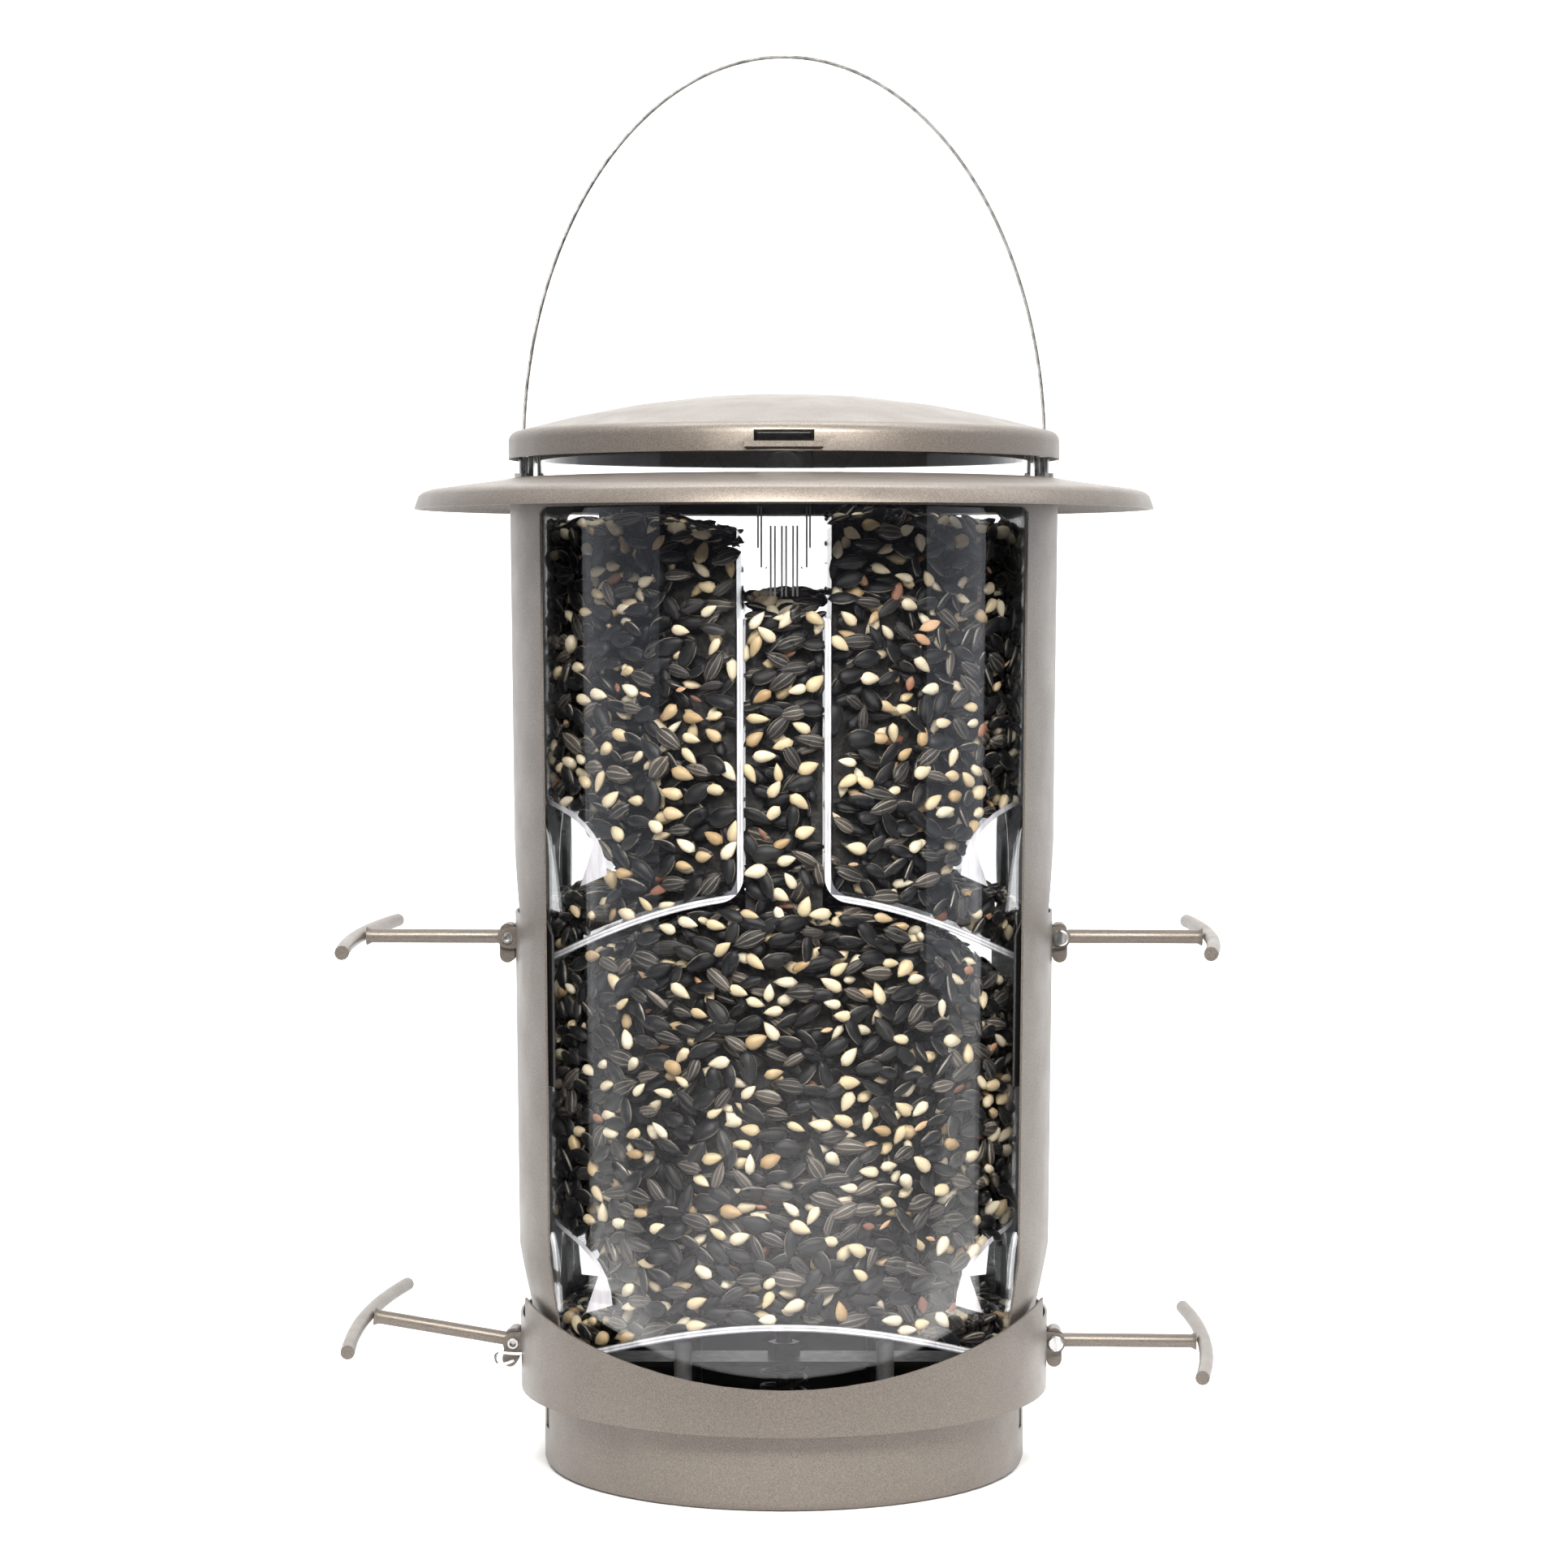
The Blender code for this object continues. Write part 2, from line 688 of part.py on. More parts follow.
def hanger(side, tag, look):
    """A bracket on the tube's top: its shelf holds back the ferrule, which runs through its foot."""
    face = side * HANGER_FACE_X
    back = side * (HANGER_FACE_X + HANGER_PLATE)
    shelf_z = HANGER_TOP_Z - HANGER_PLATE
    plate = box(
        (min(face, back), -HANGER_HALF_Y, HANGER_BOTTOM_Z),
        (max(face, back), HANGER_HALF_Y, HANGER_TOP_Z),
    )
    bracket = add("hanger_bracket_" + tag, plate, look)
    edge = side * HANGER_SHELF_X
    half = HANGER_HALF_Y - 1.0
    shelf = box((min(face, edge), -half, shelf_z), (max(face, edge), half, HANGER_TOP_Z))
    combine(bracket, add("shelf", shelf, look), "UNION")
    x = side * CABLE_HALF_SPAN
    edge = side * HANGER_FOOT_X
    foot = box(
        (min(face, edge), -half, HANGER_FOOT_Z),
        (max(face, edge), half, HANGER_FOOT_Z + 1.5),
    )
    combine(bracket, add("foot", foot, look), "UNION")
    hole = rod(FERRULE_R + 0.35, (x, 0.0, HANGER_FOOT_Z - 3.0), 6.0, sides=16)
    combine(bracket, add("hole", hole, look), "DIFFERENCE")
    hole = rod(CABLE_R + 0.45, (x, 0.0, shelf_z - 5.0), 10.0, sides=12)
    combine(bracket, add("hole", hole, look), "DIFFERENCE")
    foot = shelf_z - GAP - FERRULE_LONG
    ferrule = rod(FERRULE_R, (x, 0.0, foot), FERRULE_LONG, sides=16)
    add("cable_ferrule_" + tag, ferrule, bright())


def latch_guide(look):
    """The clear guide on the tube's front: a curved band, a stem, three ribs and two struts."""
    stem_top = GUIDE_BOTTOM_Z + 12.0
    band_top = GUIDE_BAND_Z + 6.0
    right = [
        (GUIDE_FOOT_DEG, GUIDE_BOTTOM_Z),
        (GUIDE_FOOT_DEG, stem_top - 3.0),
        (GUIDE_STEM_DEG, stem_top),
        (GUIDE_STEM_DEG, GUIDE_BAND_Z),
        (GUIDE_BAND_DEG, GUIDE_BAND_Z),
        (GUIDE_BAND_DEG, band_top),
        (GUIDE_BAND_DEG - 2.4, band_top + 3.4),
        (GUIDE_BAND_DEG + 0.9, GUIDE_STRUT_Z),
        (GUIDE_BAND_DEG - 0.1, GUIDE_STRUT_Z + 0.6),
        (GUIDE_BAND_DEG - 3.8, band_top + 3.6),
        (GUIDE_BAND_DEG - 5.5, band_top + 1.0),
    ]
    left = [(-turn, z) for turn, z in reversed(right)]
    outline = [(FRONT_DEG + turn, z) for turn, z in right + left]
    guide = add(
        "latch_guide", wrapped_sheet(outline, [], lambda z: GUIDE_R, GUIDE_SHEET, 3.0), look
    )
    rib_front = LATCH_BACK_Y + 0.1
    rib_back = GUIDE_SHEET / 2.0 - GUIDE_R
    low = GUIDE_BOTTOM_Z + 2.0
    high = GUIDE_BAND_Z - 9.4
    for x in (-RIB_PITCH, 0.0, RIB_PITCH):
        rib = box((x - RIB_HALF, rib_front, low), (x + RIB_HALF, rib_back, high))
        combine(guide, add("rib", rib, look), "UNION")


# ------------------------------------------------------------------ shroud


def collar_edge_z(from_side):
    """Height of the collar's top edge at an angle from the perch axis: lowest in front and behind."""
    return COLLAR_LOW_Z + COLLAR_RISE * math.cos(math.radians(from_side)) ** 2


def port_hole(middle, lip_z, apex_z):
    return arch_hole(middle, lip_z, apex_z, PORT_HALF, shroud_radius(lip_z))


def lug_slot(middle, pivot, near):
    """The slot that a perch's ears and lug reach out through; near is its front edge in Y."""
    far = EAR_OUT + 0.6
    turns = [degrees_for(y, shroud_radius(pivot)) for y in (near, far)]
    if middle == 180.0:
        turns = [-turns[1], -turns[0]]
    low = pivot - LUG_DOWN - 1.2
    high = pivot + LUG_UP + 0.8
    return [
        (middle + turns[0], low),
        (middle + turns[1], low),
        (middle + turns[1], high),
        (middle + turns[0], high),
    ]


def shroud_tube(parent, look):
    """One rolled sheet: the top ring and two straps with ports, tucked in at their lower ends."""
    seam = -21.5
    fillet = 2.0
    outline = [(seam, STRAP_BOTTOM_Z)]
    for middle in (BACK_DEG, BACK_DEG + 180.0):
        half = 90.0 - STRAP_HALF_DEG
        outline += [
            (middle - half, STRAP_BOTTOM_Z),
            (middle - half, RING_BOTTOM_Z - fillet),
            (middle - half + fillet, RING_BOTTOM_Z),
            (middle + half - fillet, RING_BOTTOM_Z),
            (middle + half, RING_BOTTOM_Z - fillet),
            (middle + half, STRAP_BOTTOM_Z),
        ]
    outline += [
        (seam + 360.0, STRAP_BOTTOM_Z),
        (seam + 360.0, SHROUD_TOP_Z),
        (seam, SHROUD_TOP_Z),
    ]
    holes = []
    for middle in (0.0, 180.0):
        holes.append(port_hole(middle, PORT_LIP_Z, PORT_APEX_Z))
        holes.append(port_hole(middle, LOWER_PORT_LIP_Z, LOWER_PORT_APEX_Z))
        holes.append(lug_slot(middle, UPPER_PIVOT_Z, -EAR_OUT - 0.6))
    levels = (TUCK_LOW_Z, TUCK_HIGH_Z)
    sheet = wrapped_sheet(outline, holes, strap_radius, SHROUD_SHEET, 5.0, levels)
    add("shroud_tube", sheet, look, parent)


def collar(parent, look):
    """A ring round the straps' lower ends, scooped in front and behind and notched at the ports."""
    seam = -21.5
    port = degrees_for(PORT_HALF, shroud_radius(LOWER_PORT_LIP_Z))
    steps = 24
    edge = []
    for middle in (0.0, 180.0):
        for i in range(steps + 1):
            from_side = port + (180.0 - 2.0 * port) * i / steps
            edge.append((middle + from_side, collar_edge_z(from_side)))
        edge.append((middle + 180.0 - port, LOWER_PORT_LIP_Z))
        edge.append((middle + 180.0 + port, LOWER_PORT_LIP_Z))
    edge = edge[:-1]
    last = seam + 360.0
    before = [point for point in edge if point[0] < last]
    after = [(u - 360.0, z) for u, z in edge if u > last]
    side = collar_edge_z(-seam)
    top = [(seam, side), *after, (port, LOWER_PORT_LIP_Z), *before, (last, side)]
    outline = [(seam, SHROUD_BOTTOM_Z), (last, SHROUD_BOTTOM_Z), *reversed(top)]
    holes = [lug_slot(middle, LOWER_PIVOT_Z, CLIP_Y - 1.3) for middle in (0.0, 180.0)]
    sheet = wrapped_sheet(outline, holes, shroud_radius, SHROUD_SHEET, 5.0)
    add("collar", sheet, look, parent)


def brim(parent, look):
    """A shallow pressed brim with a rolled outer edge."""
    top = [(97.3, 349.0), (98.2, 348.8), (104.0, 347.9), (112.0, 346.8)]
    top += [(119.0, 345.9), (124.5, 345.1), (127.4, 344.2), (128.9, 342.8)]
    top += [(BRIM_R, BRIM_EDGE_Z)]
    under = [(BRIM_R - 1.0, BRIM_EDGE_Z), (128.0, 342.2), (126.6, 343.4)]
    under += [(124.0, 344.1), (100.8, 347.0), (97.3, 347.6)]
    add("brim", revolve(top + under), look, parent)


def perch_bracket(name, side, pivot, parent, look):
    """A U bracket: its plate lies inside the strap or collar and its ears reach out through it."""
    radius = shroud_radius(pivot)
    face = radius - SHROUD_SHEET - 0.9
    back = face - BRACKET_SHEET
    low = pivot - BRACKET_DOWN
    high = pivot + BRACKET_UP
    plate = box((back, -BRACKET_HALF_Y, low), (face, BRACKET_HALF_Y, high))
    bracket = add(name, plate, look, parent)
    inner = EAR_IN - GAP
    opening = box((back - 2.0, -inner, pivot - 3.6), (face + 2.0, inner, high - 1.0))
    combine(bracket, add("opening", opening, look), "DIFFERENCE")
    if pivot == LOWER_PIVOT_Z:
        hole = rod(1.0, (back - 2.0, side * CLIP_Y, CLIP_Z), 6.0, "X", 12)
        combine(bracket, add("hole", hole, look), "DIFFERENCE")
    axis = radius + PIVOT_OUT
    ear = [(back, pivot - EAR_R), (axis, pivot - EAR_R)]
    for i in range(1, 8):
        turn = math.radians(-90.0 + 180.0 * i / 8)
        ear.append((axis + EAR_R * math.cos(turn), pivot + EAR_R * math.sin(turn)))
    ear += [(axis, pivot + EAR_R), (back, pivot + EAR_R)]
    for low_y, high_y in ((-EAR_OUT, -EAR_IN), (EAR_IN, EAR_OUT)):
        combine(bracket, add("ear", prism(ear, "XZ", low_y, high_y), look), "UNION")
    hole = rod(PIN_R + GAP, (axis, -12.0, pivot), 24.0, "Y")
    combine(bracket, add("hole", hole, look), "DIFFERENCE")
    if side < 0:
        bracket.data.transform(Matrix.Rotation(math.pi, 4, "Z"))


def perch_pin(name, side, pivot, parent, look):
    """A half-hollow rivet along Y: its head is in front on the right, its tail on the left."""
    start = -EAR_OUT - 1.9
    head = -EAR_OUT - GAP
    tail = EAR_OUT + GAP
    profile = [(0.0, start), (PIN_HEAD_R - 0.5, start), (PIN_HEAD_R, start + 0.5)]
    profile += [(PIN_HEAD_R, head), (PIN_R, head), (PIN_R, tail)]
    profile += [(2.0, tail + 0.1), (1.9, tail + 0.9), (1.2, tail + 0.9)]
    profile += [(1.0, tail - 1.6), (0.0, tail - 1.6)]
    bm = revolve(profile, 16)
    turn = math.pi / 2.0 if side < 0 else -math.pi / 2.0
    bmesh.ops.rotate(bm, matrix=Matrix.Rotation(turn, 3, "X"), verts=bm.verts)
    at = (side * (shroud_radius(pivot) + PIVOT_OUT), 0.0, pivot)
    add(name, bm, look, parent, at)


def backing_plate(name, middle_deg, parent, look):
    """A plain liner inside a strap, below the upper port."""
    half = STRAP_HALF_DEG - 2.0
    corner = 6.0
    top = PORT_LIP_Z + GAP
    bottom = top - LINER_HIGH
    outline = [
        (-half, bottom),
        (half, bottom),
        (half, top - corner),
        (half - corner / 2.0, top - corner / 4.0),
        (half - corner, top),
        (corner - half, top),
        (corner / 2.0 - half, top - corner / 4.0),
        (-half, top - corner),
    ]
    outline = [(middle_deg + u, z) for u, z in outline]
    sheet = wrapped_sheet(
        outline, [], lambda z: shroud_radius(z) - 4.3, SHROUD_SHEET, 5.0
    )
    add(name, sheet, look, parent)


def lift_bridge(parent, look):
    """A flat bar across the base whose prongs pass through the cup to two curved lugs."""
    top = BRIDGE_BOTTOM_Z + BRIDGE_THICK
    bar = box((-74.0, -10.0, BRIDGE_BOTTOM_Z), (74.0, 10.0, top))
    bridge = add("lift_bridge", bar, look, parent)
    lug_r = shroud_radius(LOWER_PIVOT_Z) - 3.0
    for side in (-1.0, 1.0):
        ends = sorted((side * 66.0, side * 74.0))
        low_y = -PRONG_Y - PRONG_HALF
        cross = box((ends[0], low_y, BRIDGE_BOTTOM_Z), (ends[1], -low_y, top))
        combine(bridge, add("cross", cross, look), "UNION")
        for y in (-PRONG_Y, PRONG_Y):
            ends = sorted((side * 70.0, side * (lug_r - 1.4)))
            prong = box(
                (ends[0], y - PRONG_HALF, BRIDGE_BOTTOM_Z),
                (ends[1], y + PRONG_HALF, top),
            )
            combine(bridge, add("prong", prong, look), "UNION")
        middle = 0.0 if side > 0 else 180.0
        outline = rectangle(middle, 13.6, BRIDGE_BOTTOM_Z - 0.7, 42.5)
        lug = wrapped_sheet(outline, [], lambda z: lug_r, 1.4, 3.4)
        combine(bridge, add("lug", lug, look), "UNION")
        start = min(side * (lug_r - 6.0), side * (lug_r + 6.0))
        hole = rod(1.0, (start, CLIP_Y, CLIP_Z), 12.0, "X", 12)
        combine(bridge, add("hole", hole, look), "DIFFERENCE")
    hole = rod(POST_R + 0.5, (0.0, 0.0, BRIDGE_BOTTOM_Z - 2.0), 8.0)
    combine(bridge, add("hole", hole, look), "DIFFERENCE")


# ------------------------------------------------------------------ perches


def perch(tag, side, pivot, lift_deg, yaw_deg, shroud, look):
    """A folding perch in its own frame: X points outward from the pin, which is its origin."""
    at = (side * (shroud_radius(pivot) + PIVOT_OUT), 0.0, pivot)
    facing = 0.0 if side > 0 else math.pi
    turn = (0.0, -math.radians(lift_deg), facing + math.radians(yaw_deg))
    joint = empty("perch_pivot_" + tag, at, turn)
    joint.parent = shroud
    outline = [(-LUG_HALF_X, LUG_HALF_X - LUG_DOWN)]
    for middle_z, first in ((LUG_HALF_X - LUG_DOWN, 180.0), (LUG_UP - LUG_HALF_X, 0.0)):
        for i in range(9):
            x, z = polar(LUG_HALF_X, first + 180.0 * i / 8)
            outline.append((x, middle_z + z))
    lug = add("perch_lug_" + tag, prism(outline[1:], "XZ", -LUG_HALF_Y, LUG_HALF_Y), look, joint)
    bore = rod(PIN_R + 0.5, (0.0, -8.0, 0.0), 16.0, "Y")
    tool = add("bore", bore, look, joint)
    combine(lug, tool, "DIFFERENCE")
    start = LUG_HALF_X + GAP
    length = PERCH_REACH - ROD_R - GAP - start
    stem = revolve(
        [(0.0, 0.0), (ROD_R, 0.0), (ROD_R, length - WELD), (ROD_R + WELD / 2.0, length), (0.0, length)],
        16,
    )
    bmesh.ops.rotate(stem, matrix=Matrix.Rotation(math.pi / 2.0, 3, "Y"), verts=stem.verts)
    bmesh.ops.translate(stem, vec=(start, 0.0, 0.0), verts=stem.verts)
    add("perch_rod_" + tag, stem, look, joint)
    radius = (BAR_HALF**2 + BAR_SAGITTA**2) / (2.0 * BAR_SAGITTA)
    reach = math.asin(BAR_HALF / radius)
    points = []
    for i in range(11):
        angle = reach * (2.0 * i / 10 - 1.0)
        x = PERCH_REACH - radius * (1.0 - math.cos(angle))
        points.append((x, radius * math.sin(angle), 0.0))
    wire("perch_bar_" + tag, points, ROD_R, look, resolution=4, parent=joint)


# ------------------------------------------------------------------ lid, latch, clip


def dome_z(r):
    return LID_APEX_Z - DOME_DROP * (r / DOME_R) ** 2


def lid(look):
    """A pressed dome with a rolled rim, a latch notch in front and two cable slots."""
    lift = empty("lid_lift", (0.0, 0.0, 0.0))
    radii = [0.0, 30.0, 55.0, 76.0, DOME_R]
    outer = [(r, dome_z(r)) for r in radii]
    corner = LID_R - DOME_R
    for i in range(1, 5):
        turn = math.radians(90.0 * i / 4)
        x = DOME_R + corner * math.sin(turn)
        outer.append((x, dome_z(DOME_R) - corner * (1.0 - math.cos(turn))))
    outer.append((LID_R, LID_RIM_Z))
    inner = [(LID_R - LID_SHEET, LID_RIM_Z)]
    small = corner - LID_SHEET
    for i in range(2, 0, -1):
        turn = math.radians(90.0 * i / 2)
        x = DOME_R + small * math.sin(turn)
        inner.append((x, dome_z(DOME_R) - corner + small * math.cos(turn)))
    inner += [(r, dome_z(r) - LID_SHEET) for r in reversed(radii)]
    cap = add("lid", revolve(outer + inner), look, lift)
    ledge_low = (-NOTCH_HALF_X - 3.0, -LID_R - 1.7, NOTCH_LOW_Z - 1.9)
    ledge_high = (NOTCH_HALF_X + 3.0, -LID_R + 0.8, NOTCH_LOW_Z)
    combine(cap, add("ledge", box(ledge_low, ledge_high), look), "UNION")
    cut_low = (-NOTCH_HALF_X, -LID_R - 5.0, NOTCH_LOW_Z)
    cut_high = (NOTCH_HALF_X, -LID_R + 3.3, NOTCH_HIGH_Z)
    combine(cap, add("notch", box(cut_low, cut_high), look), "DIFFERENCE")
    slot_low = LID_RIM_Z + 5.0
    slot_high = dome_z(SLOT_IN_R) + 5.0
    half = CABLE_R + 0.85
    for side in (-1.0, 1.0):
        ends = sorted((side * SLOT_IN_R, side * SLOT_OUT_R))
        slot = box((ends[0], -half, slot_low), (ends[1], half, slot_high))
        combine(cap, add("slot", slot, look), "DIFFERENCE")


def latch(look):
    """The clear spring tongue: two arms, a plate, a push button and the hook bar."""
    pivot_y = (LATCH_BACK_Y + LATCH_FRONT_Y) / 2.0
    hinge = empty("latch_hinge", (0.0, pivot_y, LATCH_PIVOT_Z))

    def shifted(bm):
        bmesh.ops.translate(bm, vec=(0.0, -pivot_y, -LATCH_PIVOT_Z), verts=bm.verts)
        return bm

    outline = [(-9.5, 359.0), (-9.5, 317.5), (-6.6, 317.5), (-6.6, 338.0), (-4.6, 341.5)]
    outline += [(-x, z) for x, z in reversed(outline)]
    plate = shifted(prism(outline, "XZ", LATCH_FRONT_Y, LATCH_BACK_Y))
    tongue = add("latch_tongue", plate, look, hinge)
    hook = box(
        (-HOOK_HALF_X, HOOK_FRONT_Y, HOOK_TOP_Z - 4.0), (HOOK_HALF_X, LATCH_BACK_Y, HOOK_TOP_Z)
    )
    combine(tongue, add("hook", shifted(hook), look, hinge), "UNION")
    length = LATCH_BACK_Y - BUTTON_FRONT_Y - 0.7
    button = rod(BUTTON_R, (0.0, BUTTON_FRONT_Y, BUTTON_Z), length, "Y")
    combine(tongue, add("button", shifted(button), look, hinge), "UNION")
    groove = rod(4.7, (0.0, BUTTON_FRONT_Y - 1.0, BUTTON_Z), 1.9, "Y", hole=3.5)
    combine(tongue, add("groove", shifted(groove), look, hinge), "DIFFERENCE")


def hairpin_clip(look):
    """A bent wire whose straight leg pins the lower left bracket to the lift bridge."""
    x = -shroud_radius(LOWER_PIVOT_Z)
    slide = empty("clip_slide", (x, CLIP_Y, CLIP_Z))
    inner = 5.6
    straight = -5.5
    loop_r = 2.3
    points = [(inner, 0.0), (2.0, 0.0), (-2.0, 0.0), (straight, 0.3)]
    for i in range(9):
        angle = math.radians(90.0 + 180.0 * i / 8)
        points.append(
            (straight - 1.2 + loop_r * math.cos(angle), loop_r * math.sin(angle) - loop_r + 0.6)
        )
    points += [(-4.4, -3.3), (-2.2, -2.4)]
    wire(
        "hairpin_clip",
        [(px, 0.0, pz) for px, pz in points],
        CLIP_WIRE_R,
        look,
        resolution=2,
        parent=slide,
    )


def build():
    remove_everything()
    metal = paint()
    plastic = clear()
    steel = bright()
    base_cup(metal)
    half_shell("front_shell", FRONT_DEG, plastic)
    half_shell("back_shell", BACK_DEG, plastic)
    floor_arch(plastic)
    latch_guide(plastic)
    guide_post(steel)
    stop_nut(steel)
    return_spring(steel)
    shroud = empty("shroud_slide", (0.0, 0.0, 0.0))
    shroud_tube(shroud, metal)
    collar(shroud, metal)
    brim(shroud, metal)
    lift_bridge(shroud, steel)
    for side, hand in ((-1.0, "left"), (1.0, "right")):
        chute_divider("chute_" + hand, side, plastic)
        hanger(side, hand, steel)
        backing_plate("backing_plate_" + hand, 90.0 - side * 90.0, shroud, metal)
        for level, lower in (("upper", False), ("lower", True)):
            tag = level + "_" + hand
            pivot = LOWER_PIVOT_Z if lower else UPPER_PIVOT_Z
            port_hood("port_hood_" + tag, side, lower, plastic)
            perch_bracket("perch_bracket_" + tag, side, pivot, shroud, metal)
            perch_pin("perch_pin_" + tag, side, pivot, shroud, steel)
            perch(tag, side, pivot, LIFTS[tag], YAWS[tag], shroud, metal)
            shell_screw("shell_screw_" + tag, side * 77.5, SCREW_Z[level], steel)
    for y, end in ((-68.0, "front"), (68.0, "back")):
        for x, hand in ((-34.0, "left"), (34.0, "right")):
            floor_post("floor_post_" + end + "_" + hand, x, y, metal)
    lid(metal)
    latch(plastic)
    hairpin_clip(steel)
    wire("hanger_cable", cable_points(72), CABLE_R, steel)


build()
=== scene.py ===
"""Looks of the hanging hopper feeder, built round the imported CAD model.

All sizes are in metres: +Z is up, the latch faces -Y and the perches stand out along X. CAD nodes
keep their shape and get a finish. The wire rope and the return spring's coil are pieces of their own
in place of their CAD nodes. The seed that fills the hopper is loose contents, shown here only.
"""

import math

import bpy
import numpy as np
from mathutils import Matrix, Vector


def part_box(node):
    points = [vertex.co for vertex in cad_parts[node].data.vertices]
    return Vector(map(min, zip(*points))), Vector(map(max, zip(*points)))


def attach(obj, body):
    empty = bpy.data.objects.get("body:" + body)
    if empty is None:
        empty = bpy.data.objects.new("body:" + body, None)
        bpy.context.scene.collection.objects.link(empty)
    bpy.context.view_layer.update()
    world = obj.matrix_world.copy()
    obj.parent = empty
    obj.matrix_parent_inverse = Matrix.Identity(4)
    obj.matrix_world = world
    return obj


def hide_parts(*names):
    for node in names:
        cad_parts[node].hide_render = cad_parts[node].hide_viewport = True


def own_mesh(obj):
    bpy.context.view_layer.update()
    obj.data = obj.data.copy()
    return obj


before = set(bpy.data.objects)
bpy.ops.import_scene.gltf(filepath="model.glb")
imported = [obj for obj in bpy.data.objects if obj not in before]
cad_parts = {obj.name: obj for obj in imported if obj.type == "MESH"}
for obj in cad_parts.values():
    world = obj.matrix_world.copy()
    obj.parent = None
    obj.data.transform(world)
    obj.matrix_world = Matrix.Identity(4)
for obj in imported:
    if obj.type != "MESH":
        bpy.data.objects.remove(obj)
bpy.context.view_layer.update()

MM = 0.001
RNG = np.random.default_rng(11)

# Camera: at the front, a little above the middle of the tube, looking slightly down.
CAMERA_AWAY = 1.386
CAMERA_Z = 310.9 * MM
CAMERA_DOWN = math.radians(2.877)
LENS = 89.72
SENSOR = 36.0

# Studio: the strength of the world's fill, and the table that sweeps up at the back.
FILL = 0.30
TABLE_HALF = 3.0
TABLE_BACK_Y = 0.6
SWEEP_R = 0.5
SWEEP_STEPS = 12
SWEEP_TOP_Z = 2.4

# Hopper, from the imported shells: the tube is a slight cone with a 2.2 mm wall.
TUBE_R0 = 83.6 * MM
TUBE_DRAFT = 0.0105
TUBE_WALL = 2.2 * MM
CHUTE_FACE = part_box("chute_right")[0].x
CHUTE_WALL = 2.3 * MM
BAFFLE_TOP = 209.5 * MM
BAFFLE_FALL = 4.16
FLOOR_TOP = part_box("floor_arch")[1].z
FLOOR_FALL = 3.5

# Awnings over the ports, from the upper right one; the lower pair sits HOOD_DROP below.
HOOD_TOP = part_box("port_hood_upper_right")[1].z - 1.6 * MM
HOOD_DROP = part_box("port_hood_upper_right")[1].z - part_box("port_hood_lower_right")[1].z
HOOD_MID_Z = 213.2 * MM
HOOD_OUT_X = 84.7 * MM
HOOD_IN_X = 59.5 * MM

# Painted shade lines along the ribs and slots moulded in the latch guide, for the dark edges clear
# plastic shows: distance from the middle, lowest and highest point, in mm.
PAINTED_LATCH_OUTLINES = (
    (0.7, 308.0, 331.4),
    (3.0, 308.0, 331.4),
    (4.4, 308.0, 331.4),
    (5.9, 317.2, 337.6),
    (7.5, 317.2, 337.6),
    (8.6, 324.0, 338.0),
)
PAINTED_OUTLINE_HALF = 0.3 * MM

# The sheets' cut edges lie within RIM_REACH of this distance from the axis.
RIM_R = 82.3 * MM
RIM_REACH = 1.9 * MM

# Wire rope: seven strands, six of them laid round the first.
CABLE_D = 1.3 * MM
STRAND_D = CABLE_D / 3.0
STRANDS = 7
STRAND_SIDES = 6
LAY_LENGTH = 9.0 * MM
CABLE_STEP = 0.9 * MM
CABLE_FINE = 721

# Return spring.
SPRING_WIRE_R = 0.8 * MM
SPRING_TURNS = 6
SPRING_STEPS = 36
SPRING_SIDES = 10

# Seed: the space kept from the sheets, the tops of the heaps, and the layers' spacing.
SEED_GAP = 0.5 * MM
LEFT_TOP_Z = 338.0 * MM
RIGHT_TOP_Z = 339.5 * MM
CHUTE_TOP_Z = 310.5 * MM
PILE_LEFT_Z = 204.0 * MM
PILE_RIGHT_Z = 202.0 * MM
GLASS_Y = 0.08
PORT_SEED_Z = 207.5 * MM
PORT_SEED_X = 66.0 * MM
SEED_LOW_Z = 40.0 * MM
SEED_MIDDLE_Z = 200.0 * MM
SEED_HIGH_Z = 342.0 * MM
TOP_GAP = 5.2 * MM
CHUTE_TOP_GAP = 5.0 * MM
FLATNESS = {"sunflower": 0.62, "safflower": 0.78, "chaff": 0.5}
POINT = {"sunflower": 0.82, "safflower": 0.72, "chaff": 1.0}

# Cores of painted shade inside the heaps, dark where the gaps between seeds lie in shade: depth under the
# surface, space over a sheet or hood, outer ends.
CORE_SINK = 5.0 * MM
CORE_LIFT = 0.7 * MM
CORE_OVER_HOOD = 1.2 * MM
CORE_IN_X = HOOD_IN_X - 3.0 * MM
CORE_OUT_X = 74.0 * MM
CORE_OUT_LOW_X = 73.0 * MM


# ------------------------------------------------------------------ shader node helpers


def feed(tree, value, socket):
    """Links an output to a socket, or sets the socket to a number or a colour."""
    if isinstance(value, (float, tuple)):
        socket.default_value = value
    else:
        tree.links.new(value, socket)


def math_node(tree, operation, *values):
    """The output of a Math node on outputs or numbers."""
    node = tree.nodes.new("ShaderNodeMath")
    node.operation = operation
    for socket, value in zip(node.inputs, values):
        feed(tree, value, socket)
    return node.outputs[0]


def map_range(tree, value, from_low, from_high, to_low=0.0, to_high=1.0):
    node = tree.nodes.new("ShaderNodeMapRange")
    node.inputs["From Min"].default_value = from_low
    node.inputs["From Max"].default_value = from_high
    node.inputs["To Min"].default_value = to_low
    node.inputs["To Max"].default_value = to_high
    feed(tree, value, node.inputs["Value"])
    return node.outputs["Result"]


